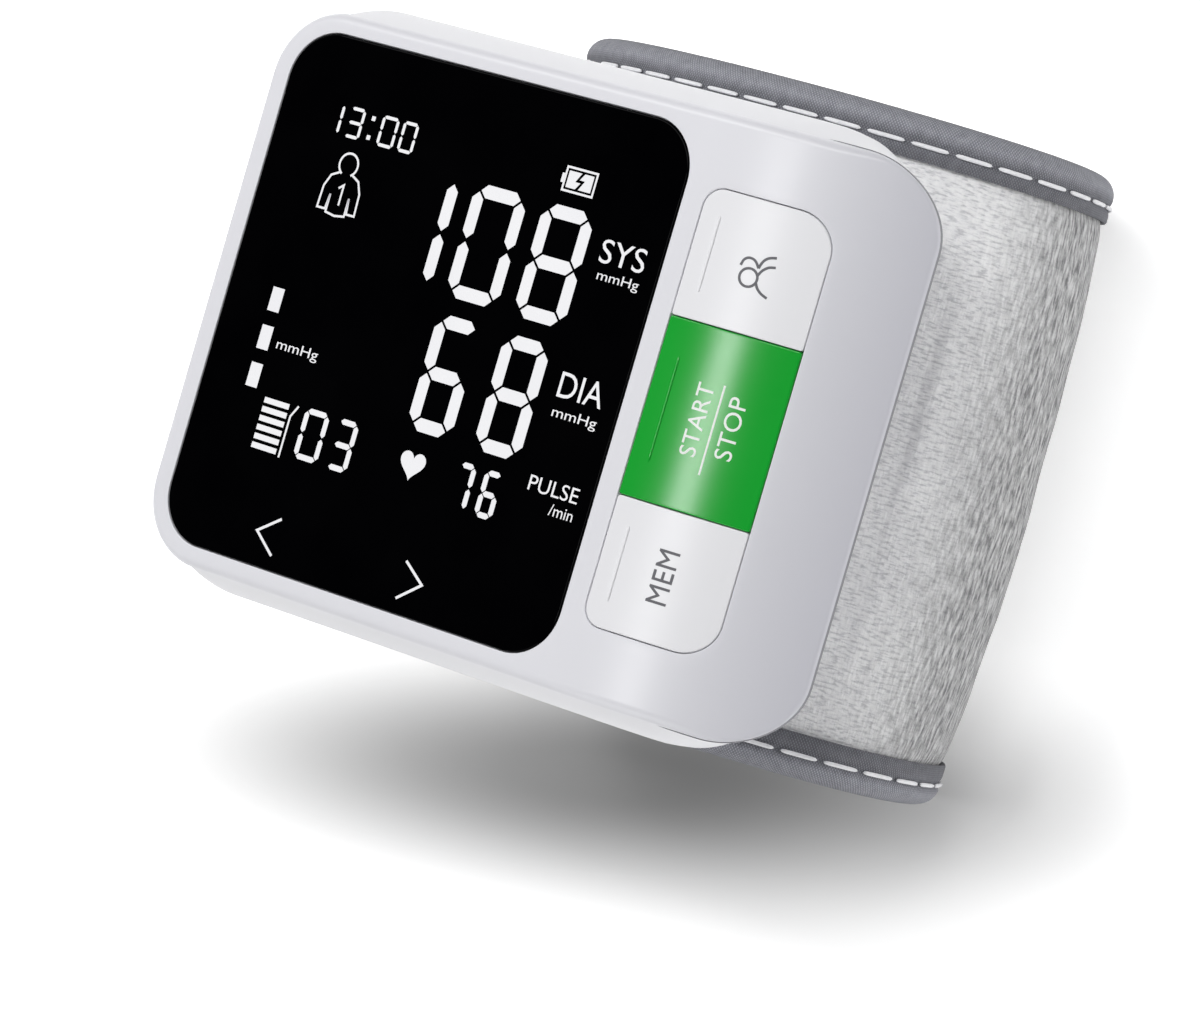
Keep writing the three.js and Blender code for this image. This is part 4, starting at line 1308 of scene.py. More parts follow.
@dataclass
class Symbols:
    """The generic figures and words of the display and the buttons."""

    shape: CaseShape
    low: float = -0.02
    high: float = 0.02
    cut_pitch: float = 0.5

    def bar(self, start: Point, end: Point, width: float) -> list[Point]:
        """Gives one bar of a digit: a strip with a point at each end, anticlockwise."""
        (x1, y1), (x2, y2) = start, end
        length = math.hypot(x2 - x1, y2 - y1)
        ux, uy = (x2 - x1) / length, (y2 - y1) / length
        nx, ny = -uy, ux
        half = width / 2
        return [
            (x1, y1), (x1 + ux * half - nx * half, y1 + uy * half - ny * half),
            (x2 - ux * half - nx * half, y2 - uy * half - ny * half), (x2, y2),
            (x2 - ux * half + nx * half, y2 - uy * half + ny * half),
            (x1 + ux * half + nx * half, y1 + uy * half + ny * half),
        ]

    def digit(self, skin: Skin, figure: str, box: Box, width: float) -> None:
        """Adds a seven-bar digit.

        Args:
            skin: What to add it to.
            figure: The digit.
            box: Its left, right, bottom and top.
            width: The width of its bars.
        """
        left, right, bottom, top = box
        half, gap = width / 2, width * 0.13
        l, r, b, t, m = left + half, right - half, bottom + half, top - half, (bottom + top) / 2
        runs = {
            "a": ((l + gap, t), (r - gap, t)), "b": ((r, m + gap), (r, t - gap)),
            "c": ((r, b + gap), (r, m - gap)), "d": ((l + gap, b), (r - gap, b)),
            "e": ((l, b + gap), (l, m - gap)), "f": ((l, m + gap), (l, t - gap)),
            "g": ((l + gap, m), (r - gap, m)),
        }
        for segment in Segment:
            if segment.value in DIGITS[figure]:
                skin.prism(self.bar(*runs[segment.value], width), self.low, self.high)

    def ribbon(
        self, skin: Skin, path: Sequence[Point], width: float, closed: bool = False, level: Level = flat
    ) -> None:
        """Adds a line of even width with mitred corners.

        Args:
            skin: What to add it to.
            path: The line's points.
            width: Its width.
            closed: Whether it ends where it starts.
            level: The height of the surface under it.
        """
        count = len(path)
        left, right = [], []
        for index, (x, y) in enumerate(path):
            before = path[index - 1] if index or closed else None
            after = path[(index + 1) % count] if index + 1 < count or closed else None
            ways = []
            for a, b in ((before, (x, y)), ((x, y), after)):
                if a is not None and b is not None:
                    size = math.hypot(b[0] - a[0], b[1] - a[1]) or 1.0
                    ways.append(((b[0] - a[0]) / size, (b[1] - a[1]) / size))
            ux, uy = sum(w[0] for w in ways) / len(ways), sum(w[1] for w in ways) / len(ways)
            size = max(0.35, math.hypot(ux, uy))
            reach = width / 2 / size ** 2
            left.append((x - uy * reach, y + ux * reach))
            right.append((x + uy * reach, y - ux * reach))
        rings = []
        for a, b in zip(left, right):
            corners = ((a, self.low), (a, self.high), (b, self.high), (b, self.low))
            rings.append([(*corner, level(*corner) + height) for corner, height in corners])
        if closed:
            skin.bands([*rings, rings[0]])
        else:
            skin.rod(rings)

    def arc(self, centre: Point, radius: float, start: float, end: float, steps: int = 20) -> list[Point]:
        """Lists points of an arc, its angles in degrees."""
        angles = [math.radians(start + (end - start) * index / steps) for index in range(steps + 1)]
        return [(centre[0] + radius * math.cos(a), centre[1] + radius * math.sin(a)) for a in angles]

    def smooth(self, corners: Sequence[Point], steps: int = 5) -> list[Point]:
        """Lists points of a smooth line through a few corners."""
        ends = [corners[0], *corners, corners[-1]]
        line = []
        for a, b, c, d in zip(ends, ends[1:], ends[2:], ends[3:]):
            for step in range(steps):
                t = step / steps
                line.append(tuple(
                    0.5 * (
                        2 * q + (r - p) * t + (2 * p - 5 * q + 4 * r - s) * t ** 2
                        + (3 * q - p - 3 * r + s) * t ** 3
                    )
                    for p, q, r, s in zip(a, b, c, d)
                ))
        return [*line, corners[-1]]

    def words(self, text: str, box: Box, name: str, turned: bool = False, spacing: float = 1.0) -> Object:
        """Makes lettering that fills a box of the case's face.

        Args:
            text: The generic word.
            box: Its left, right, bottom and top.
            name: The object's name.
            turned: Whether it reads towards the case's upper edge.
            spacing: The spacing of the letters.

        Returns:
            The mesh object.
        """
        curve = bpy.data.curves.new(name, "FONT")
        curve.body = text
        curve.size = 1.0
        curve.space_character = spacing
        curve.resolution_u = 4
        holder = placed(name, curve)
        mesh = plain_mesh(holder)
        bpy.data.objects.remove(holder)
        made = placed(name, mesh)
        work = bmesh.new()
        work.from_mesh(mesh)
        if turned:
            turn = Matrix.Rotation(math.pi / 2, 3, "Z")
            bmesh.ops.rotate(work, verts=work.verts, cent=(0, 0, 0), matrix=turn)
        xs = [v.co.x for v in work.verts]
        ys = [v.co.y for v in work.verts]
        left, right, bottom, top = box
        for v in work.verts:
            v.co.x = left + (v.co.x - min(xs)) / (max(xs) - min(xs)) * (right - left)
            v.co.y = bottom + (v.co.y - min(ys)) / (max(ys) - min(ys)) * (top - bottom)
        for cut in np.arange(left, right, self.cut_pitch):
            everything = [*work.verts, *work.edges, *work.faces]
            bmesh.ops.bisect_plane(work, geom=everything, plane_co=(cut, 0, 0), plane_no=(1, 0, 0))
        bmesh.ops.recalc_face_normals(work, faces=work.faces)
        if sum(face.normal.z * face.calc_area() for face in work.faces) < 0:
            bmesh.ops.reverse_faces(work, faces=work.faces)
        sunk = bmesh.ops.duplicate(work, geom=[*work.verts, *work.edges, *work.faces])
        copies = [item for item in sunk["geom"] if isinstance(item, bmesh.types.BMFace)]
        lower = {item for item in sunk["geom"] if isinstance(item, bmesh.types.BMVert)}
        bmesh.ops.reverse_faces(work, faces=copies)
        pairs = sunk["vert_map"]
        rims = [edge for edge in work.edges if edge.is_boundary and edge.verts[0] not in lower]
        for edge in rims:
            a, b = edge.verts
            loop = edge.link_loops[0]
            if loop.vert is not a:
                a, b = b, a
            work.faces.new((b, a, pairs[a], pairs[b]))
        shift = self.shape.shift
        for v in work.verts:
            height = self.low if v in lower else self.high
            v.co = Vector((
                (v.co.x + shift[0]) * MM, (v.co.y + shift[1]) * MM,
                (shift[2] - self.shape.fall(v.co.x) + height) * MM,
            ))
        work.to_mesh(mesh)
        work.free()
        return made

    def joined(self, name: str, parts: Sequence[Object]) -> Object:
        """Joins mesh objects into one that keeps the first one's name."""
        work = bmesh.new()
        for part in parts:
            work.from_mesh(part.data)
        mesh = bpy.data.meshes.new(name)
        work.to_mesh(mesh)
        work.free()
        for part in parts:
            bpy.data.objects.remove(part)
        return placed(name, mesh)


@dataclass
class Display:
    """The black window and what it shows."""

    shape: CaseShape
    thickness: float = 1.0
    rim_radius: float = 0.2
    pitches: Point = (6.0, 12.0)
    line: float = 0.24
    arrow_line: float = 0.3

    def build_window(self, finishes: Finishes) -> Object:
        """Makes the window."""
        shape, skin = self.shape, Skin()
        points = lambda inset: shape.window.inset(inset).points()
        shape.add_plate(skin, points, self.rim_radius, self.thickness, self.pitches)
        window = skin.piece("window_glass", shape.shift)
        return settle(window, finishes.window_black, "window_black", stands_for=["display_window"])

    def build_symbols(self, finishes: Finishes) -> Object:
        """Makes everything that the display shows."""
        symbols = Symbols(self.shape)
        skin = Skin()
        for figure, box, width in (
            ("1", (-31.6, -30.0, 18.2, 21.6), 0.36), ("3", (-29.2, -27.1, 18.2, 21.6), 0.36),
            ("0", (-24.7, -22.4, 18.2, 21.6), 0.36), ("0", (-21.8, -19.7, 18.2, 21.6), 0.36),
            ("1", (-17.25, -12.35, 4.9, 17.35), 1.45), ("0", (-10.35, -3.25, 4.9, 17.35), 1.45),
            ("8", (-1.15, 5.65, 4.9, 17.35), 1.45),
            ("6", (-10.35, -4.25, -9.7, 3.0), 1.45), ("8", (-1.25, 4.95, -9.7, 3.0), 1.45),
            ("7", (-2.2, 0.15, -16.4, -11.3), 0.62), ("6", (1.3, 3.7, -16.4, -11.3), 0.62),
            ("0", (-23.7, -20.3, -16.4, -10.8), 0.62), ("3", (-19.1, -16.2, -16.4, -10.8), 0.62),
        ):
            symbols.digit(skin, figure, box, width)
        self.add_marks(skin, symbols)
        figures = skin.piece("display_figures", self.shape.shift)
        words = [
            symbols.words(text, box, f"word_{index}")
            for index, (text, box) in enumerate((
                ("SYS", (7.5, 13.3, 12.7, 15.25)), ("mmHg", (7.9, 13.3, 10.6, 11.95)),
                ("DIA", (7.2, 13.0, -1.9, 0.8)), ("mmHg", (7.3, 13.1, -4.35, -2.95)),
                ("PULSE", (7.0, 13.5, -12.05, -10.4)), ("/min", (10.4, 13.5, -13.95, -12.7)),
                ("mmHg", (-30.0, -24.2, -6.1, -4.65)),
            ))
        ]
        piece = symbols.joined("display_symbols", [figures, *words])
        return settle(piece, finishes.symbol_white, "pale_plastic")

    def add_marks(self, skin: Skin, symbols: Symbols) -> None:
        """Adds the small generic pictograms: user, battery, heart, list, bars and arrows."""
        line = self.line
        dots = [rectangle(-26.15, -25.65, y - 0.25, y + 0.25) for y in (18.8, 20.9)]
        symbols.ribbon(skin, symbols.arc((-27.4, 15.4), 1.25, -60, 240, 28), line)
        body = [(-28.3, 14.4), (-29.3, 13.9), (-29.9, 12.6), (-30.0, 10.2), (-28.9, 10.2), (-28.7, 11.9)]
        symbols.ribbon(skin, body, line)
        symbols.ribbon(skin, [(-54.8 - x, y) for x, y in body], line)
        symbols.ribbon(skin, [(-28.7, 11.9), (-28.7, 9.9), (-27.4, 9.7), (-26.1, 9.9), (-26.1, 11.9)], line)
        symbols.ribbon(skin, [(-27.85, 12.7), (-27.25, 13.15), (-27.25, 10.9)], line)
        symbols.ribbon(skin, rectangle(0.5, 4.45, 18.95, 21.45), line, closed=True)
        battery = [
            rectangle(0.05, 0.4, 19.7, 20.7),
            [(0.85, 19.3), (2.1, 19.3), (2.6, 20.05), (1.9, 20.05), (2.5, 21.1), (0.85, 21.1)],
            [(4.1, 21.1), (2.9, 21.1), (2.4, 20.35), (3.1, 20.35), (2.5, 19.3), (4.1, 19.3)],
        ]
        heart = []
        for step in range(40):
            t = step / 40 * 2 * math.pi
            x = 16 * math.sin(t) ** 3
            y = 13 * math.cos(t) - 5 * math.cos(2 * t) - 2 * math.cos(3 * t) - math.cos(4 * t)
            heart.append((-8.1 + x * 0.105, -13.2 + y * 0.108))
        bars = [rectangle(-32.6, -31.0, bottom, bottom + 2.65) for bottom in (-2.05, -6.3, -10.5)]
        rows = [rectangle(-29.5, -26.0, step - 16.7, step - 16.7 + 0.62) for step in range(6)]
        for plate in (*dots, *battery, heart[::-1], *bars, *rows):
            skin.prism(plate, symbols.low, symbols.high)
        symbols.ribbon(skin, [(-25.5, -16.9), (-25.5, -12.3), (-24.75, -11.0)], line)
        for tip, wing in ((-25.5, -22.7), (-2.5, -5.3)):
            symbols.ribbon(skin, [(wing, -23.1), (tip, -25.05), (wing, -27.2)], self.arrow_line)


@dataclass
class Buttons:
    """The three caps in one opening, their raised bars and marks."""

    shape: CaseShape
    gap: float = 0.1
    start_half: float = 9.6
    inner_corner: float = 0.3
    edge_radius: float = 0.14
    depth: float = 2.9
    pitches: Point = (1.0, 3.0)
    flange_reach: float = 0.5
    flange_top: float = 2.5
    flange_bottom: float = 3.3
    flange_pitch: float = 2.0
    stem_radius: float = 1.4
    stem_foot: float = 4.7
    bar_share: float = 0.3
    bar_x: float = 20.4
    bar_width: float = 0.36
    bar_rise: float = 0.16
    bar_sunk: float = 0.05
    bar_taper: float = 0.5
    bar_end: float = 0.02
    bar_corners: int = 9
    letter_spacing: float = 1.05
    mark_line: float = 0.26
    divider_line: float = 0.2

    def cap_outline(self, low: float, high: float, inset: float) -> Outline:
        """Gives one cap's outline between two heights of the strip."""
        strip = self.shape.strip
        upper, lower, small = high >= strip.top, low <= strip.bottom, self.inner_corner
        radii = (
            strip.radii[0] if lower else small, strip.radii[1] if upper else small,
            strip.radii[2] if upper else small, strip.radii[3] if lower else small,
        )
        half = self.gap / 2
        outline = Outline(
            strip.left + self.gap, strip.right - self.gap,
            low + (self.gap if lower else half), high - (self.gap if upper else half),
            tuple(radius - self.gap if radius > small else radius for radius in radii),
        )
        return outline.inset(inset)

    def build_cap(
        self, name: str, low: float, high: float, body: Body, material: Material, slot: str
    ) -> Object:
        """Makes one cap with its flange, stem and raised bar.

        Args:
            name: The button's name.
            low: The lower end of its run along the strip.
            high: The upper end.
            body: The body that moves with it.
            material: Its material.
            slot: The record's material slot.

        Returns:
            The cap.
        """
        shape = self.shape
        skin = Skin()
        points = lambda inset: self.cap_outline(low, high, inset).points(10, 22, 14)
        shape.add_plate(skin, points, self.edge_radius, self.depth, self.pitches)
        middle_x, middle_y = (shape.strip.left + shape.strip.right) / 2, (low + high) / 2
        flange = self.cap_outline(low, high, 0.0)
        flange = Outline(
            flange.left - self.flange_reach, flange.right + self.flange_reach,
            flange.bottom - (self.flange_reach if low < -self.start_half else 0.0),
            flange.top + (self.flange_reach if high > self.start_half else 0.0), flange.radii,
        )
        flange_points = flange.points(6, 16, 8)
        skin.bands([shape.ring(flange_points, depth) for depth in (self.flange_bottom, self.flange_top)])
        inner = filled(flange_points, [], self.flange_pitch)
        skin.cover(*inner, shape.level(self.flange_top))
        skin.cover(*inner, shape.level(self.flange_bottom), up=False)
        stem = circle(middle_x, middle_y, self.stem_radius)
        skin.prism(stem, -self.stem_foot, -shape.fall(middle_x) - self.flange_top)
        self.add_bar(skin, middle_y, (high - low) * self.bar_share)
        cap = skin.piece(f"{name}_cap", shape.shift, sharp=40.0)
        return settle(cap, material, slot, body, [f"{name}_button"])

    def add_bar(self, skin: Skin, middle: float, reach: float) -> None:
        """Adds the raised bar that a thumb feels for: a half round ridge with tapered ends."""
        rings = []
        steps = 30
        for index in range(steps + 1):
            share = 1 - index / steps * 2
            taper = max(0.0, (abs(share) * reach - reach + self.bar_taper) / self.bar_taper)
            size = math.sqrt(max(0.0, 1 - taper ** 2)) * (1 - self.bar_end) + self.bar_end
            ring = []
            for angle in np.linspace(0, math.pi, self.bar_corners):
                x = self.bar_x + math.cos(angle) * self.bar_width / 2 * size
                rise = math.sin(angle) * self.bar_rise * size - self.bar_sunk
                ring.append((x, middle + share * reach, -self.shape.fall(x) + rise))
            rings.append(ring)
        skin.rod(rings)

    def build(self, finishes: Finishes) -> None:
        """Makes the three caps and their marks."""
        strip, half = self.shape.strip, self.start_half
        self.build_cap("user", half, strip.top, Body.USER_KEY, finishes.cap_white, "case_white")
        self.build_cap("start_stop", -half, half, Body.START_STOP_KEY, finishes.cap_green, "button_green")
        self.build_cap("memory", strip.bottom, -half, Body.MEMORY_KEY, finishes.cap_white, "case_white")
        symbols = Symbols(self.shape, low=-0.03, high=0.03)
        level = self.shape.level()
        start, stop, memory = (
            symbols.words(text, box, name, turned=True, spacing=self.letter_spacing)
            for text, box, name in (
                ("START", (23.35, 25.15, -3.85, 3.8), "start_word"),
                ("STOP", (27.0, 28.8, -3.25, 3.3), "stop_word"),
                ("MEM", (24.4, 26.6, -19.3, -13.7), "memory_mark"),
            )
        )
        skin = Skin()
        symbols.ribbon(skin, [(26.1, -5.4), (26.1, 4.1)], self.divider_line, level=level)
        divider = skin.piece("start_divider", self.shape.shift)
        marks = symbols.joined("start_stop_marks", [start, stop, divider])
        settle(marks, finishes.print_white, "case_white", Body.START_STOP_KEY)
        settle(memory, finishes.print_grey, "dark_plastic", Body.MEMORY_KEY)
        skin = Skin()
        head = symbols.arc((25.23, 15.37), 0.95, 0, 348, 30)
        symbols.ribbon(skin, head, self.mark_line, closed=True, level=level)
        for corners in (
            [(24.08, 16.4), (24.3, 17.05), (24.8, 17.35), (25.45, 17.2), (26.0, 16.55)],
            [(26.0, 16.55), (26.18, 17.17), (26.46, 17.6), (26.88, 17.88), (27.5, 18.05)],
            [(26.12, 15.8), (26.34, 16.27), (26.63, 16.62), (27.05, 16.92), (27.66, 17.07)],
            [(26.12, 15.1), (26.37, 14.63), (26.68, 14.31), (27.1, 14.04), (27.65, 13.83)],
        ):
            symbols.ribbon(skin, symbols.smooth(corners), self.mark_line, level=level)
        user = skin.piece("user_mark", self.shape.shift)
        settle(user, finishes.print_grey, "dark_plastic", Body.USER_KEY)


# The cuff


@dataclass
class CuffLoop:
    """The cuff's loop: an oval with a flat resting side."""

    centre_x: float = 2.05
    half_width: float = 32.0
    half_depth: float = 23.0
    rest_half: float = 9.0
    level: float = 23.4
    width: float = 72.2
    hinge: float = -0.28
    closure: float = -0.71
    samples: int = 4000
    table: np.ndarray = field(init=False, repr=False)

    def __post_init__(self) -> None:
        """Tables the length along the loop, from the hinge round the case to the closure and on."""
        shares = np.linspace(self.hinge, self.hinge + 2.0, self.samples)
        places = np.array([self.raw(share)[:2] for share in shares])
        steps = np.hypot(*np.diff(places, axis=0).T)
        self.table = np.column_stack([np.concatenate([[0.0], np.cumsum(steps)]), shares])

    def raw(self, share: float) -> tuple[float, float, float, float]:
        """Gives a place on the outer face and the way it faces.

        Args:
            share: Half turns from the case, positive to the right.

        Returns:
            x, z and the two parts of the outward direction.
        """
        if share > 1.0:
            share -= 2.0
        angle = share * math.pi
        shift = math.copysign(self.rest_half, share) if abs(share) > 0.5 else 0.0
        half = self.half_width - abs(shift)
        nx, nz = math.sin(angle) / half, math.cos(angle) / self.half_depth
        size = math.hypot(nx, nz)
        x, z = shift + half * math.sin(angle), self.level + self.half_depth * math.cos(angle)
        return x, z, nx / size, nz / size

    def length_at(self, share: float) -> float:
        """Gives the length along the loop from the hinge to a share."""
        if share < self.hinge:
            share += 2.0
        return float(np.interp(share, self.table[:, 1], self.table[:, 0]))

    def share_at(self, length: float) -> float:
        """Gives the share at a length along the loop."""
        return float(np.interp(length, self.table[:, 0], self.table[:, 1]))

    @property
    def total(self) -> float:
        """The loop's whole length."""
        return float(self.table[-1, 0])

    def place(self, length: float, offset: float, y: float) -> Place:
        """Gives a point by its length along the loop, its offset outwards and its y."""
        x, z, nx, nz = self.raw(self.share_at(length))
        return (x + nx * offset, y, z + nz * offset)


@dataclass
class LayerSweep:
    """A layer swept along part of the loop, with a closed section."""

    loop: CuffLoop
    start: float
    end: float
    pitch: float = 0.8

    def build(self, name: str, section: Sequence[Point], relief: Relief | None = None) -> Object:
        """Makes the layer.

        Args:
            name: Its name.
            section: Closed section of (offset, y), anticlockwise seen along the loop.
            relief: How far to raise a point, from its length, y and offset.

        Returns:
            The piece, with a cloth map in metres.
        """
        count = max(2, int((self.end - self.start) / self.pitch))
        girth = [0.0]
        for (o1, y1), (o2, y2) in zip(section, section[1:]):
            girth.append(girth[-1] + math.hypot(o2 - o1, y2 - y1))
        rings, marks = [], []
        for length in np.linspace(self.start, self.end, count + 1):
            x, z, nx, nz = self.loop.raw(self.loop.share_at(length))
            ring = []
            for offset, y in section:
                raised = offset + (relief(length, y, offset) if relief else 0.0)
                ring.append((x + nx * raised, y, z + nz * raised))
            rings.append(ring)
            marks.append([(length * MM, across * MM) for across in girth])
        skin = Skin()
        skin.bands(rings, marks)
        size, last = len(section), len(skin.points) - len(section)
        skin.faces += [tuple(range(size)), tuple(reversed(range(last, last + size)))]
        return skin.piece(name, (self.loop.centre_x, 0.0, 0.0), sharp=50.0, layer="cloth", outwards=True)


@dataclass
class Cuff:
    """The fixed cuff, its strap that swings open, the bindings, stitches and closure.

    fold, fine, soft and quilt hold the lengths of a ripple along and across the cloth,
    and its seed. Of two heights, the second is added where the cuff bends.
    """

    loop: CuffLoop = field(default_factory=CuffLoop)
    fabric: float = 1.1
    lining_offset: float = -5.0
    lining: float = 1.0
    step_y: float = 30.8
    edge_y: float = 34.0
    step_thin: float = 0.5
    proud: float = 0.4
    reach: float = 5.0
    bead: float = 2.3
    leg: float = 0.6
    gap: float = 0.25
    groove: Point = (0.28, 0.5)
    back_groove: Point = (0.1, 0.45)
    stitch_insets: Point = (3.3, 2.7)
    pad_half: float = 30.1
    pad_inner: float = -4.7
    pad_slope: float = 6.0
    bladder_shares: Point = (-0.24, 0.85)
    bladder_outer: float = -2.5
    foam_outer: float = -1.4
    tab_shares: Point = (-0.85, -0.6)
    tab_half: float = 24.0
    tab_faces: Point = (2.1, 1.3)
    hook_faces: Point = (1.2, 0.8)
    loop_faces: Point = (0.5, 0.1)
    tab_drop: float = 1.2
    patch_half: float = 22.5
    hook_start: float = 1.5
    pitch: float = 0.55
    blend_length: float = 7.0
    end_tape: float = 0.5
    stiffener_inner: float = -2.1
    step_run: float = 1.0
    relief_above: float = -0.8
    relief_sunk: float = 0.1
    case_share: float = 0.33
    case_y: float = -1.7
    case_half: float = 22.0
    bend_width: float = 0.13
    crown: Point = (0.25, 0.35)
    fold: Place = (1.7, 9.0, 3.7)
    fold_height: Point = (0.06, 0.14)
    fine: Place = (0.9, 3.0, 9.1)
    fine_height: Point = (0.03, 0.07)
    soft: Place = (9.0, 7.0, 5.3)
    soft_height: float = 0.18
    quilt: Place = (7.0, 6.0, 1.3)
    quilt_depth: float = 0.15
    quilt_height: float = 0.2
    bulge: float = 1.15
    bulge_share: float = 0.6
    bulge_width: float = 0.14
    relief_end: float = 0.86
    relief_fade: float = 0.2

    @property
    def strap_run(self) -> tuple[float, float]:
        """The strap's ends along the loop: from the closure on to the hinge."""
        return self.loop.length_at(self.loop.closure) + self.gap, self.loop.total

    @property
    def fixed_run(self) -> tuple[float, float]:
        """The fixed cuff's ends along the loop: from the hinge round to the closure."""
        return 0.0, self.loop.length_at(self.loop.closure) - self.gap

    def face_line(self, offset: float, thin: float, steps: int) -> list[Point]:
        """Lists one face of a layer from its lower to its upper edge, dipped under the bindings."""
        line = []
        for y in np.linspace(-self.edge_y, self.edge_y, steps + 1):
            ease = eased((abs(y) - self.step_y) / self.step_run + 0.5)
            line.append((offset + thin * ease, float(y)))
        return line

    def span(self, y: float) -> float:
        """Says how free the cloth is of its bindings at a place across the cuff, from 0 to 1."""
        return max(0.0, 1 - (abs(y) / self.step_y) ** 4)

    def ripple(self, length: float, y: float, sizes: Place) -> float:
        """Gives a smooth noise over the cloth, by its lengths along and across it and its seed."""
        along, across, seed = sizes
        return noise.noise(Vector((length / along, y / across, seed)))

    def knit_relief(self, length: float, y: float, offset: float) -> float:
        """Raises the knit between its bindings and gives it fine folds.

        Args:
            length: The length along the loop.
            y: The place across the cuff.
            offset: The offset of the layer's face.

        Returns:
            How far to raise the point.
        """
        if offset < self.relief_above:
            return 0.0
        share, span = self.loop.share_at(length), self.span(y)
        under_case = abs(share) < self.case_share and abs(y - self.case_y) < self.case_half
        free = 0.0 if under_case else 1.0
        hold = eased((self.relief_end - share) / self.relief_fade)
        bent = math.exp(-((abs(share) - 0.5) / self.bend_width) ** 2)
        crown, fold, fine = (
            flat_height + bent_height * bent
            for flat_height, bent_height in (self.crown, self.fold_height, self.fine_height)
        )
        across = y / self.step_y
        swell = math.exp(-((share - self.bulge_share) / self.bulge_width) ** 2)
        bulge = self.bulge * swell * max(0.0, 1 - across * across) * (1 - across / 4)
        ripples = (
            fold * self.ripple(length, y, self.fold) + fine * self.ripple(length, y, self.fine)
            + self.soft_height * self.ripple(length, y, self.soft)
        )
        raised = free * (crown * span + min(1.0, span * 1.6) * ripples) + bulge
        return hold * raised - self.relief_sunk * span * (1 - hold)

    def lining_relief(self, length: float, y: float, offset: float) -> float:
        """Gives the lining's inner face soft quilting."""
        if offset > self.lining_offset - self.lining / 2:
            return 0.0
        return -self.span(y) * (self.quilt_depth + self.quilt_height * self.ripple(length, y, self.quilt))

    def layer_section(
        self, outer: float, inner: float, outer_thin: float, inner_thin: float, steps: int = 60
    ) -> list[Point]:
        """Gives a layer's closed section between two faces."""
        return self.face_line(outer, outer_thin, steps) + self.face_line(inner, inner_thin, steps)[::-1]

    def stitch_y(self, side: int) -> float:
        """Says how far from the middle the stitches run, at the upper (1) or lower edge (-1)."""
        return self.loop.width / 2 - self.stitch_insets[0 if side > 0 else 1]

    def binding_section(self, side: int) -> list[Point]:
        """Gives the binding's section: two legs and a round bead over the edge.

        Args:
            side: 1 for the upper edge, -1 for the lower.

        Returns:
            The section's points.
        """
        half = self.loop.width / 2
        outer, inner = self.proud, self.lining_offset - self.lining - self.proud
        start, bead_y, radius = half - self.reach, half - self.bead, self.bead
        stitch_y = self.stitch_y(side)
        line: list[Point] = [(outer - 0.3, start + 0.02), (outer - 0.1, start + 0.06), (outer, start + 0.25)]
        for y in np.linspace(start + 0.5, bead_y, 15):
            groove = self.groove[0] * math.exp(-((y - stitch_y) / self.groove[1]) ** 2)
            line.append((outer - groove, float(y)))
        for step in range(1, 10):
            angle = step / 10 * QUARTER
            line.append((outer - radius * (1 - math.cos(angle)), bead_y + radius * math.sin(angle)))
        line.append((outer - radius, half))
        line.append((inner + radius, half))
        for step in range(1, 10):
            angle = (1 - step / 10) * QUARTER
            line.append((inner + radius * (1 - math.cos(angle)), bead_y + radius * math.sin(angle)))
        for y in np.linspace(bead_y, start + 0.5, 9):
            groove = self.back_groove[0] * math.exp(-((y - stitch_y) / self.back_groove[1]) ** 2)
            line.append((inner + groove, float(y)))
        line += [(inner, start + 0.25), (inner + 0.1, start + 0.06), (inner + 0.3, start + 0.02)]
        back, front = inner + self.leg, outer - self.leg
        line += [(back, start + 0.1), (back, bead_y), (front, bead_y), (front, start + 0.1)]
        return [(offset, side * y) for offset, y in line]

    def attach(self, piece: Object, strap: bool) -> None:
        """Lets a piece ride on the monitor; a strap piece only gets its place baked into its points."""
        if not strap:
            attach(piece, Body.MONITOR.value)
            return
        hinge = self.loop.place(self.loop.total, -3.0, 0.0)
        along = self.loop.place(self.loop.total - self.blend_length, -3.0, 0.0)
        points = [((x + self.loop.centre_x) * MM, 0.0, z * MM) for x, _, z in (hinge, along)]
        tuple(points[0])
        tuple(points[1])
        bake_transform(piece)

    def build_layers(self, finishes: Finishes) -> None:
        """Makes the outer knit, the lining and what lies between them."""
        knit = self.layer_section(0.0, -self.fabric, -self.step_thin, 0.0)
        inner = self.lining_offset - self.lining
        lining = self.layer_section(self.lining_offset, inner, 0.0, self.step_thin)
        for strap, (start, end) in ((False, self.fixed_run), (True, self.strap_run)):
            word = "strap" if strap else "cuff"
            sweep = LayerSweep(self.loop, start, end, self.pitch)
            cover = sweep.build(f"{word}_knit_cover", knit, self.knit_relief)
            settle(cover, finishes.knit, "cuff_knit", None, [f"{word}_outer"])
            self.attach(cover, strap)
            sweep = LayerSweep(self.loop, start, end, 1.4)
            inside_cover = sweep.build(f"{word}_soft_lining", lining, self.lining_relief)
            settle(inside_cover, finishes.lining, "cuff_lining", None, [f"{word}_lining"])
            self.attach(inside_cover, strap)
            sweep = LayerSweep(self.loop, start, end, 1.0)
            for side, edge in ((1, "upper"), (-1, "lower")):
                tape = sweep.build(f"{word}_{edge}_tape", self.binding_section(side))
                settle(tape, finishes.binding, "binding_tape", None, [f"{word}_{edge}_binding"])
                self.attach(tape, strap)
        self.build_pads(finishes)

    def pad_section(self, outer: float, rim: float) -> list[Point]:
        """Gives a pad's section, thin at its welded edges."""
        middle, steps = (outer + self.pad_inner) / 2, 40
        upper, lower = [], []
        for y in np.linspace(-self.pad_half, self.pad_half, steps + 1):
            ease = min(1.0, (self.pad_half - abs(y)) / self.pad_slope)
            thick = rim + (outer - self.pad_inner - rim) * math.sqrt(max(0.0, 1 - (1 - ease) ** 2))
            upper.append((middle + thick / 2, float(y)))
            lower.append((middle - thick / 2, float(y)))
        return upper + lower[::-1]

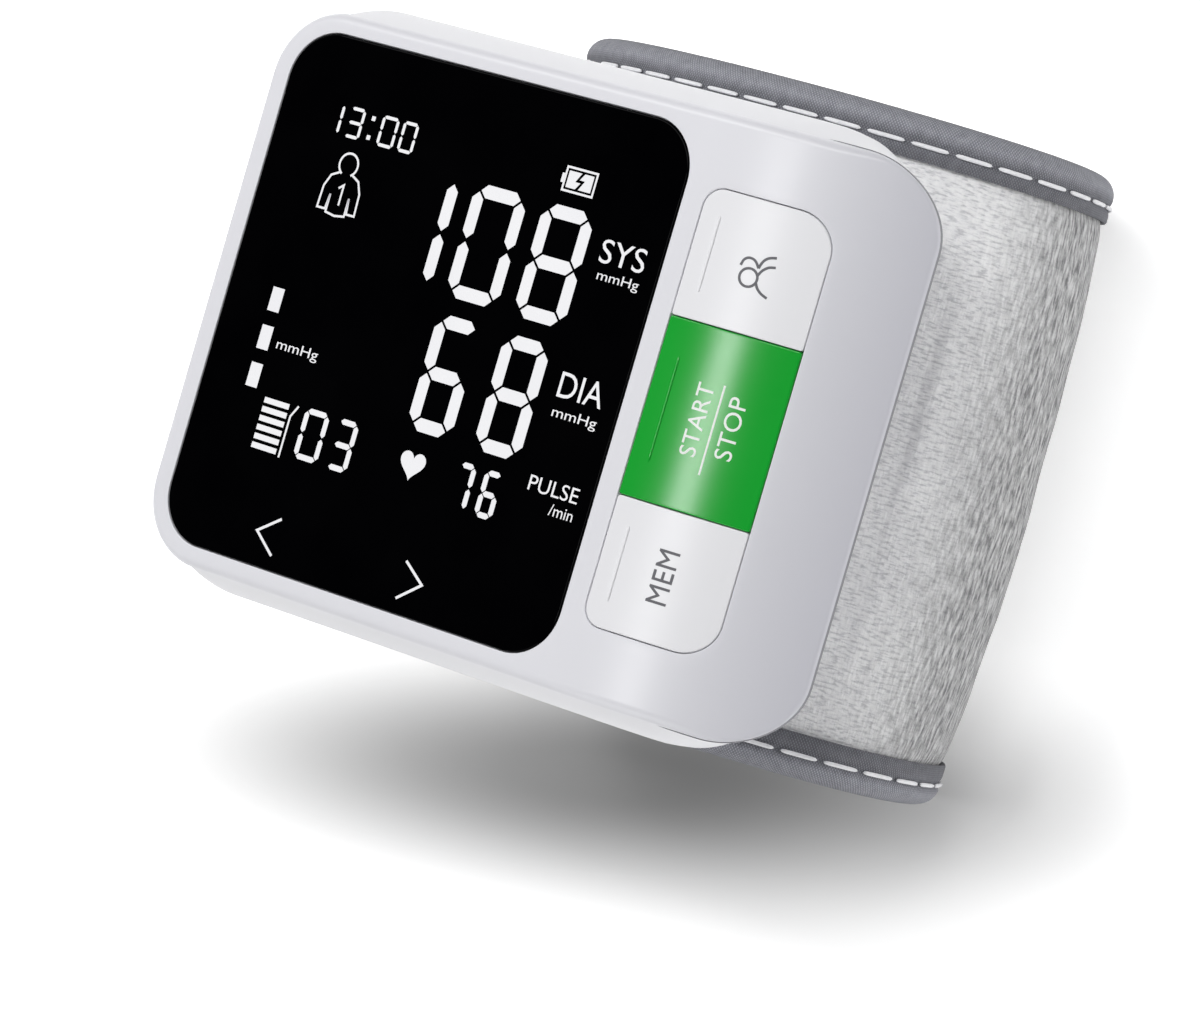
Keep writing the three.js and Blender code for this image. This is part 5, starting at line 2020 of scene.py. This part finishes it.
    def build_pads(self, finishes: Finishes) -> None:
        """Makes the air bladder of the cuff and the foam of the strap."""
        start, end = (self.loop.length_at(share) for share in self.bladder_shares)
        sweep = LayerSweep(self.loop, start, end, 1.6)
        bladder = sweep.build("bladder_pad", self.pad_section(self.bladder_outer, 0.5))
        settle(bladder, finishes.bladder, "black_rubber", Body.MONITOR, ["air_bladder"])
        start, end = self.strap_run
        sweep = LayerSweep(self.loop, start + 0.6, end, 1.4)
        foam = sweep.build("strap_foam_pad", self.pad_section(self.foam_outer, 1.2))
        settle(foam, finishes.foam, "strap_foam", None, ["strap_foam"])
        self.attach(foam, True)

    def build_ends(self, finishes: Finishes) -> None:
        """Closes the free ends of the cuff and the strap, between their two faces."""
        inner, half = self.lining_offset + 0.05, self.edge_y - 0.5
        for name, start, outer, body in (
            ("cuff_end_tape", self.fixed_run[1] - self.end_tape, self.stiffener_inner, Body.MONITOR),
            ("strap_end_tape", self.strap_run[0], -self.fabric - 0.05, Body.STRAP),
        ):
            sweep = LayerSweep(self.loop, start, start + self.end_tape, self.end_tape / 2)
            tape = sweep.build(name, [(outer, -half), (outer, half), (inner, half), (inner, -half)])
            settle(tape, finishes.pile, "binding_tape", body)

    def flat_tape(self, outer: float, inner: float, half: float) -> list[Point]:
        """Gives a flat tape's section with soft edges."""
        soft = 0.25
        ys = [-half, -half + soft, *np.linspace(-half + 1, half - 1, 24), half - soft, half]
        ends, next_to = (0, len(ys) - 1), (1, len(ys) - 2)
        upper, lower = [], []
        for index, y in enumerate(ys):
            upper.append((outer - (soft if index in ends else 0.05 if index in next_to else 0.0), float(y)))
            lower.append((inner + (0.2 if index in ends else 0.0), float(y)))
        return upper + lower[::-1]

    def build_closure(self, finishes: Finishes) -> None:
        """Makes the tab with its hook tape, and the loop tape on the cuff."""
        tab_start, tab_end = (self.loop.length_at(share) for share in self.tab_shares)
        patch_end = self.fixed_run[1]
        for name, start, end, pitch, faces, half, relief, finish, slot, body, node in (
            ("closure_webbing", tab_start, tab_end, 0.7, self.tab_faces, self.tab_half, self.tab_relief,
             finishes.webbing, "binding_tape", Body.STRAP, "closure_tab"),
            ("hook_tape", tab_start + self.hook_start, patch_end, 1.0, self.hook_faces, self.patch_half, None,
             finishes.hooks, "closure_pile", Body.STRAP, "hook_patch"),
            ("loop_tape", tab_start, patch_end, 1.0, self.loop_faces, self.patch_half, None,
             finishes.pile, "closure_pile", Body.MONITOR, "loop_patch"),
        ):
            sweep = LayerSweep(self.loop, start, end, pitch)
            tape = sweep.build(name, self.flat_tape(*faces, half), relief)
            settle(tape, finish, slot, body, [node])

    def tab_relief(self, length: float, y: float, offset: float) -> float:
        """Lets the underside of the tab's sewn end come down to the strap's surface."""
        if offset > sum(self.tab_faces) / 2:
            return 0.0
        closure = self.loop.length_at(self.loop.closure)
        return -self.tab_drop * held((length - closure - 0.2) / 0.4)

    def build(self, finishes: Finishes) -> None:
        """Makes the whole cuff."""
        self.build_layers(finishes)
        self.build_ends(finishes)
        self.build_closure(finishes)
        for strap in (False, True):
            Stitches(self, strap).build(finishes)


@dataclass
class Stitches:
    """The sewn rows along both bindings, made with Geometry Nodes."""

    cuff: Cuff
    strap: bool
    pitch: float = 4.8
    length: float = 4.45
    thickness: float = 0.56
    rest_share: float = 0.62
    samples: int = 160
    offsets: Point = (0.36, -6.35)
    end_margin: float = 2.6
    hinge_margin: float = 6.0

    def rows(self) -> Object:
        """Makes the lines that the stitches follow."""
        cuff, loop = self.cuff, self.cuff.loop
        start, end = cuff.strap_run if self.strap else cuff.fixed_run
        lead = self.end_margin if self.strap else self.hinge_margin
        points, edges = [], []
        for offset, side in ((offset, side) for offset in self.offsets for side in (1, -1)):
            first, y = len(points), side * cuff.stitch_y(side)
            for length in np.linspace(start + lead, end - self.end_margin, self.samples):
                x, _, z = loop.place(length, offset, y)
                z = max(z, self.thickness * self.rest_share)
                points.append(((x + loop.centre_x) * MM, y * MM, z * MM))
            edges += [(index, index + 1) for index in range(first, len(points) - 1)]
        mesh = bpy.data.meshes.new("stitch_rows")
        mesh.from_pydata(points, edges, [])
        return placed("stitch_rows", mesh)

    @property
    def sizes(self) -> dict[str, float]:
        """The tree's sizes by name, in metres."""
        return {"Pitch": self.pitch * MM, "Length": self.length * MM, "Thickness": self.thickness * MM}

    def tree(self, material: Material) -> tuple[bpy.types.NodeTree, dict[str, str]]:
        """Builds the tree that lays a stitch at every pitch.

        Args:
            material: The thread's material.

        Returns:
            The tree, and the identifiers of its inputs by name.
        """
        tree = bpy.data.node_groups.new("sewn_rows", "GeometryNodeTree")
        tree.interface.new_socket("Rows", in_out="INPUT", socket_type="NodeSocketGeometry")
        names = {}
        for name, value in self.sizes.items():
            socket = tree.interface.new_socket(name, in_out="INPUT", socket_type="NodeSocketFloat")
            socket.default_value = value
            names[name] = socket.identifier
        tree.interface.new_socket("Stitches", in_out="OUTPUT", socket_type="NodeSocketGeometry")
        new, link = tree.nodes.new, tree.links.new
        given, result = new("NodeGroupInput"), new("NodeGroupOutput")
        curve = new("GeometryNodeMeshToCurve")
        points = new("GeometryNodeCurveToPoints")
        points.mode = "LENGTH"
        bar = new("GeometryNodeMeshCylinder")
        bar.fill_type = "NGON"
        for name, value in (("Vertices", 6), ("Side Segments", 3), ("Radius", 0.5), ("Depth", 1.0)):
            bar.inputs[name].default_value = value
        soft = new("GeometryNodeSubdivisionSurface")
        soft.inputs["Level"].default_value = 1
        scale = new("ShaderNodeCombineXYZ")
        instances = new("GeometryNodeInstanceOnPoints")
        real = new("GeometryNodeRealizeInstances")
        smooth = new("GeometryNodeSetShadeSmooth")
        dress = new("GeometryNodeSetMaterial")
        dress.inputs["Material"].default_value = material
        for source, output, target, socket in (
            (given, "Rows", curve, 0), (curve, 0, points, "Curve"), (given, "Pitch", points, "Length"),
            (bar, "Mesh", soft, "Mesh"), (given, "Thickness", scale, "X"), (given, "Thickness", scale, "Y"),
            (given, "Length", scale, "Z"), (points, "Points", instances, "Points"),
            (soft, "Mesh", instances, "Instance"), (points, "Rotation", instances, "Rotation"),
            (scale, 0, instances, "Scale"), (instances, 0, real, 0), (real, 0, smooth, 0),
            (smooth, 0, dress, 0), (dress, 0, result, 0),
        ):
            link(source.outputs[output], target.inputs[socket])
        return tree, names

    def build(self, finishes: Finishes) -> Object:
        """Makes one body's stitches."""
        rows = self.rows()
        tree, names = self.tree(finishes.thread)
        modifier = rows.modifiers.new("sewn_rows", "NODES")
        modifier.node_group = tree
        for name, value in self.sizes.items():
            modifier[names[name]] = value
        mesh = plain_mesh(rows)
        bpy.data.objects.remove(rows)
        made = placed("strap_stitches" if self.strap else "cuff_stitches", mesh)
        settle(made, finishes.thread, "case_white", None)
        self.cuff.attach(made, self.strap)
        return made


# What stays from the CAD


class InnerParts:
    """The CAD nodes that keep their shape and get a finish."""

    def __init__(self, nodes: dict[str, Object]) -> None:
        """Keeps the nodes by name."""
        self.nodes = nodes

    def dress(self, finishes: Finishes) -> None:
        """Gives every CAD node its material."""
        table = (
            (finishes.steel, ("case_screw", "usb_socket", "valve_plunger")),
            (finishes.motor_can, ("pump_motor", "exhaust_valve")),
            (finishes.display, ("display_module",)),
            (finishes.board, ("main_board",)),
            (finishes.battery, ("battery_cell",)),
            (finishes.tube, ("pump_tube", "sensor_tube")),
            (finishes.seal, ("nipple_seal",)),
            (finishes.pale_plastic, (
                "display_holder", "pump_head", "pump_eccentric", "air_manifold", "air_nipple",
            )),
            (finishes.dark_plastic, (
                "user_switch", "start_stop_switch", "memory_switch", "pressure_sensor", "cuff_stiffener",
            )),
            (finishes.shell_white, ("rear_shell", "cuff_plate")),
            (finishes.case_white, ("front_cover",)),
            (finishes.window_black, ("display_window",)),
            (finishes.cap_white, ("user_button", "memory_button")),
            (finishes.cap_green, ("start_stop_button",)),
            (finishes.knit, ("cuff_outer", "strap_outer")),
            (finishes.lining, ("cuff_lining", "strap_lining")),
            (finishes.bladder, ("air_bladder",)),
            (finishes.foam, ("strap_foam",)),
            (finishes.webbing, ("closure_tab",)),
            (finishes.hooks, ("hook_patch",)),
            (finishes.pile, ("loop_patch",)),
        )
        for name, node in self.nodes.items():
            fitting = (material for material, starts in table if name.startswith(starts))
            material = next(fitting, finishes.binding)
            for slot in node.material_slots:
                slot.material = material
        LOG.info("dressed %d CAD nodes", len(self.nodes))


# The studio


@dataclass
class Studio:
    """The floor, the lights and the camera."""

    floor_size: float = 6.0
    floor_lift: float = 0.55
    # The painted shadow on the floor: its oval's middle, reach, turn, soft edge and tone
    shadow_centre: Point = (-0.02, -0.046)
    shadow_reach: Point = (0.0434, 0.009)
    shadow_turn: float = 12.6
    shadow_edge: Point = (0.26, 2.33)
    shadow_tone: Colour = shade(176, 176, 176)
    floor_tone: Colour = shade(254, 254, 254)
    room_strength: float = 0.05
    azimuth: float = 34.112
    elevation: float = 1.960
    roll: float = 16.35
    distance: float = 547.925
    aim_right: float = 13.916
    aim_up: float = -12.910
    sensor: float = 36.0
    focal_pixels: float = 5233.093
    frame_pixels: float = 1200.0
    origin: Place = (0.25, -1.7, 70.0)

    def build_floor(self) -> None:
        """Makes a pale floor that keeps the cast shadow and adds a painted shadow: a darker oval under the
        object.
        """
        mesh = bpy.data.meshes.new("floor")
        half = self.floor_size / 2
        mesh.from_pydata([(x, y, 0) for x, y in rectangle(-half, half, -half, half)], [], [(0, 1, 2, 3)])
        floor = placed("floor", mesh)
        surface = Surface("floor_pale")
        # Painted shadow: the floor's colour darkens in a soft oval under the object, and the white lift for
        # the camera fades out there too.
        around = surface.coordinates((*self.shadow_reach, 1.0))
        around.vector_type = "TEXTURE"
        around.inputs["Location"].default_value = (*self.shadow_centre, 0.0)
        around.inputs["Rotation"].default_value = (0.0, 0.0, math.radians(self.shadow_turn))
        away = surface.node("ShaderNodeVectorMath", operation="LENGTH")
        surface.join(around, "Vector", away, 0)
        near, far = self.shadow_edge
        edges = {"From Min": near, "From Max": far}
        clear = surface.node("ShaderNodeMapRange", edges, interpolation_type="SMOOTHSTEP")
        surface.join(away, "Value", clear, "Value")
        tones = [(0.0, self.shadow_tone), (1.0, self.floor_tone)]
        surface.colour_from(surface.ramp(clear, "Result", tones))
        surface.set(Roughness=0.9, Specular_IOR_Level=0.0)
        surface.lift_for_camera(self.floor_lift, clear)
        mesh.materials.append(surface.material)

    def hang(self, data: bpy.types.Light, where: Place, width_way: Place = (1.0, 0.0, 0.0)) -> None:
        """Hangs a lamp at a place, turned to the object.

        Args:
            data: The lamp.
            where: The place.
            width_way: The way that its width runs.
        """
        lamp = placed(data.name, data)
        lamp.location = where
        back = Vector(where).normalized()
        up = back.cross(Vector(width_way)).normalized()
        lamp.visible_camera = False
        lamp.rotation_mode = "QUATERNION"
        lamp.rotation_quaternion = Matrix((up.cross(back), up, back)).transposed().to_quaternion()

    def build_lights(self) -> None:
        """Makes plain soft studio light.

        Two suns fill from the left and the front. A long soft box hangs behind, a narrow
        one overhead, and a card stands at the right.
        """
        for name, way, spread, strength in (
            ("left_fill", (-0.72, 0.5, 0.6), 40.0, 0.045),
            ("front_fill", (-0.1, -0.93, 0.35), 50.0, 0.13),
        ):
            data = bpy.data.lights.new(name, "SUN")
            data.angle = math.radians(spread)
            data.energy = strength * math.pi / way[2]
            self.hang(data, way)
        for name, place, width, length, watts, width_way in (
            ("soft_box", (-0.14, 0.48, 1.1), 1.5, 0.34, 10.0, (1.0, 0.0, 0.0)),
            ("overhead_strip", (-0.075, -0.035, 1.145), 0.15, 0.34, 2.4, (1.0, 0.0, 0.0)),
            ("side_card", (0.22, -0.005, 0.019), 0.3, 0.036, 0.162, (0.0, 1.0, 0.0)),
        ):
            data = bpy.data.lights.new(name, "AREA")
            data.shape = "RECTANGLE"
            data.size, data.size_y, data.energy = width, length, watts
            self.hang(data, place, width_way)
        world = bpy.data.worlds.new("room")
        world.use_nodes = True
        back = world.node_tree.nodes["Background"]
        back.inputs["Color"].default_value = WHITE
        back.inputs["Strength"].default_value = self.room_strength
        bpy.context.scene.world = world
        bpy.context.scene.view_settings.view_transform = "Standard"

    def build_camera(self) -> None:
        """Makes the camera at the photograph's angle."""
        az, el, roll = (math.radians(value) for value in (self.azimuth, self.elevation, self.roll))
        back = Vector((math.sin(az) * math.cos(el), -math.cos(az) * math.cos(el), math.sin(el)))
        right = (-back).cross(Vector((0, 0, 1))).normalized()
        up = right.cross(-back)
        turned_right = right * math.cos(roll) + up * math.sin(roll)
        turned_up = -right * math.sin(roll) + up * math.cos(roll)
        place = right * self.aim_right + up * self.aim_up + back * self.distance

        def world_way(way: Vector) -> Vector:
            """Turns a direction of the display into the world's."""
            return Vector((way.x, way.z, -way.y))

        data = bpy.data.cameras.new("camera")
        data.sensor_width = self.sensor
        data.lens = self.focal_pixels * self.sensor / self.frame_pixels
        data.clip_start, data.clip_end = 0.01, 20.0
        camera = placed("camera", data)
        axes = (world_way(way) for way in (turned_right, turned_up, back))
        matrix = Matrix(tuple(axes)).transposed().to_4x4()
        matrix.translation = (world_way(place) + Vector(self.origin)) * MM
        camera.matrix_world = matrix
        bpy.context.scene.camera = camera

    def build(self) -> None:
        """Makes the whole studio."""
        self.build_camera()
        self.build_floor()
        self.build_lights()


def main() -> None:
    """Builds the monitor piece by piece."""
    logging.basicConfig(level=logging.INFO, format="%(message)s")
    Studio().build()
    finishes = Finishes()
    shape = CaseShape()
    InnerParts(frame["nodes"]).dress(finishes)
    FrontCover(shape).build(finishes)
    RearShell(shape).build(finishes)
    display = Display(shape)
    display.build_window(finishes)
    display.build_symbols(finishes)
    Buttons(shape).build(finishes)
    Cuff().build(finishes)


if __name__ == "__main__":
    main()
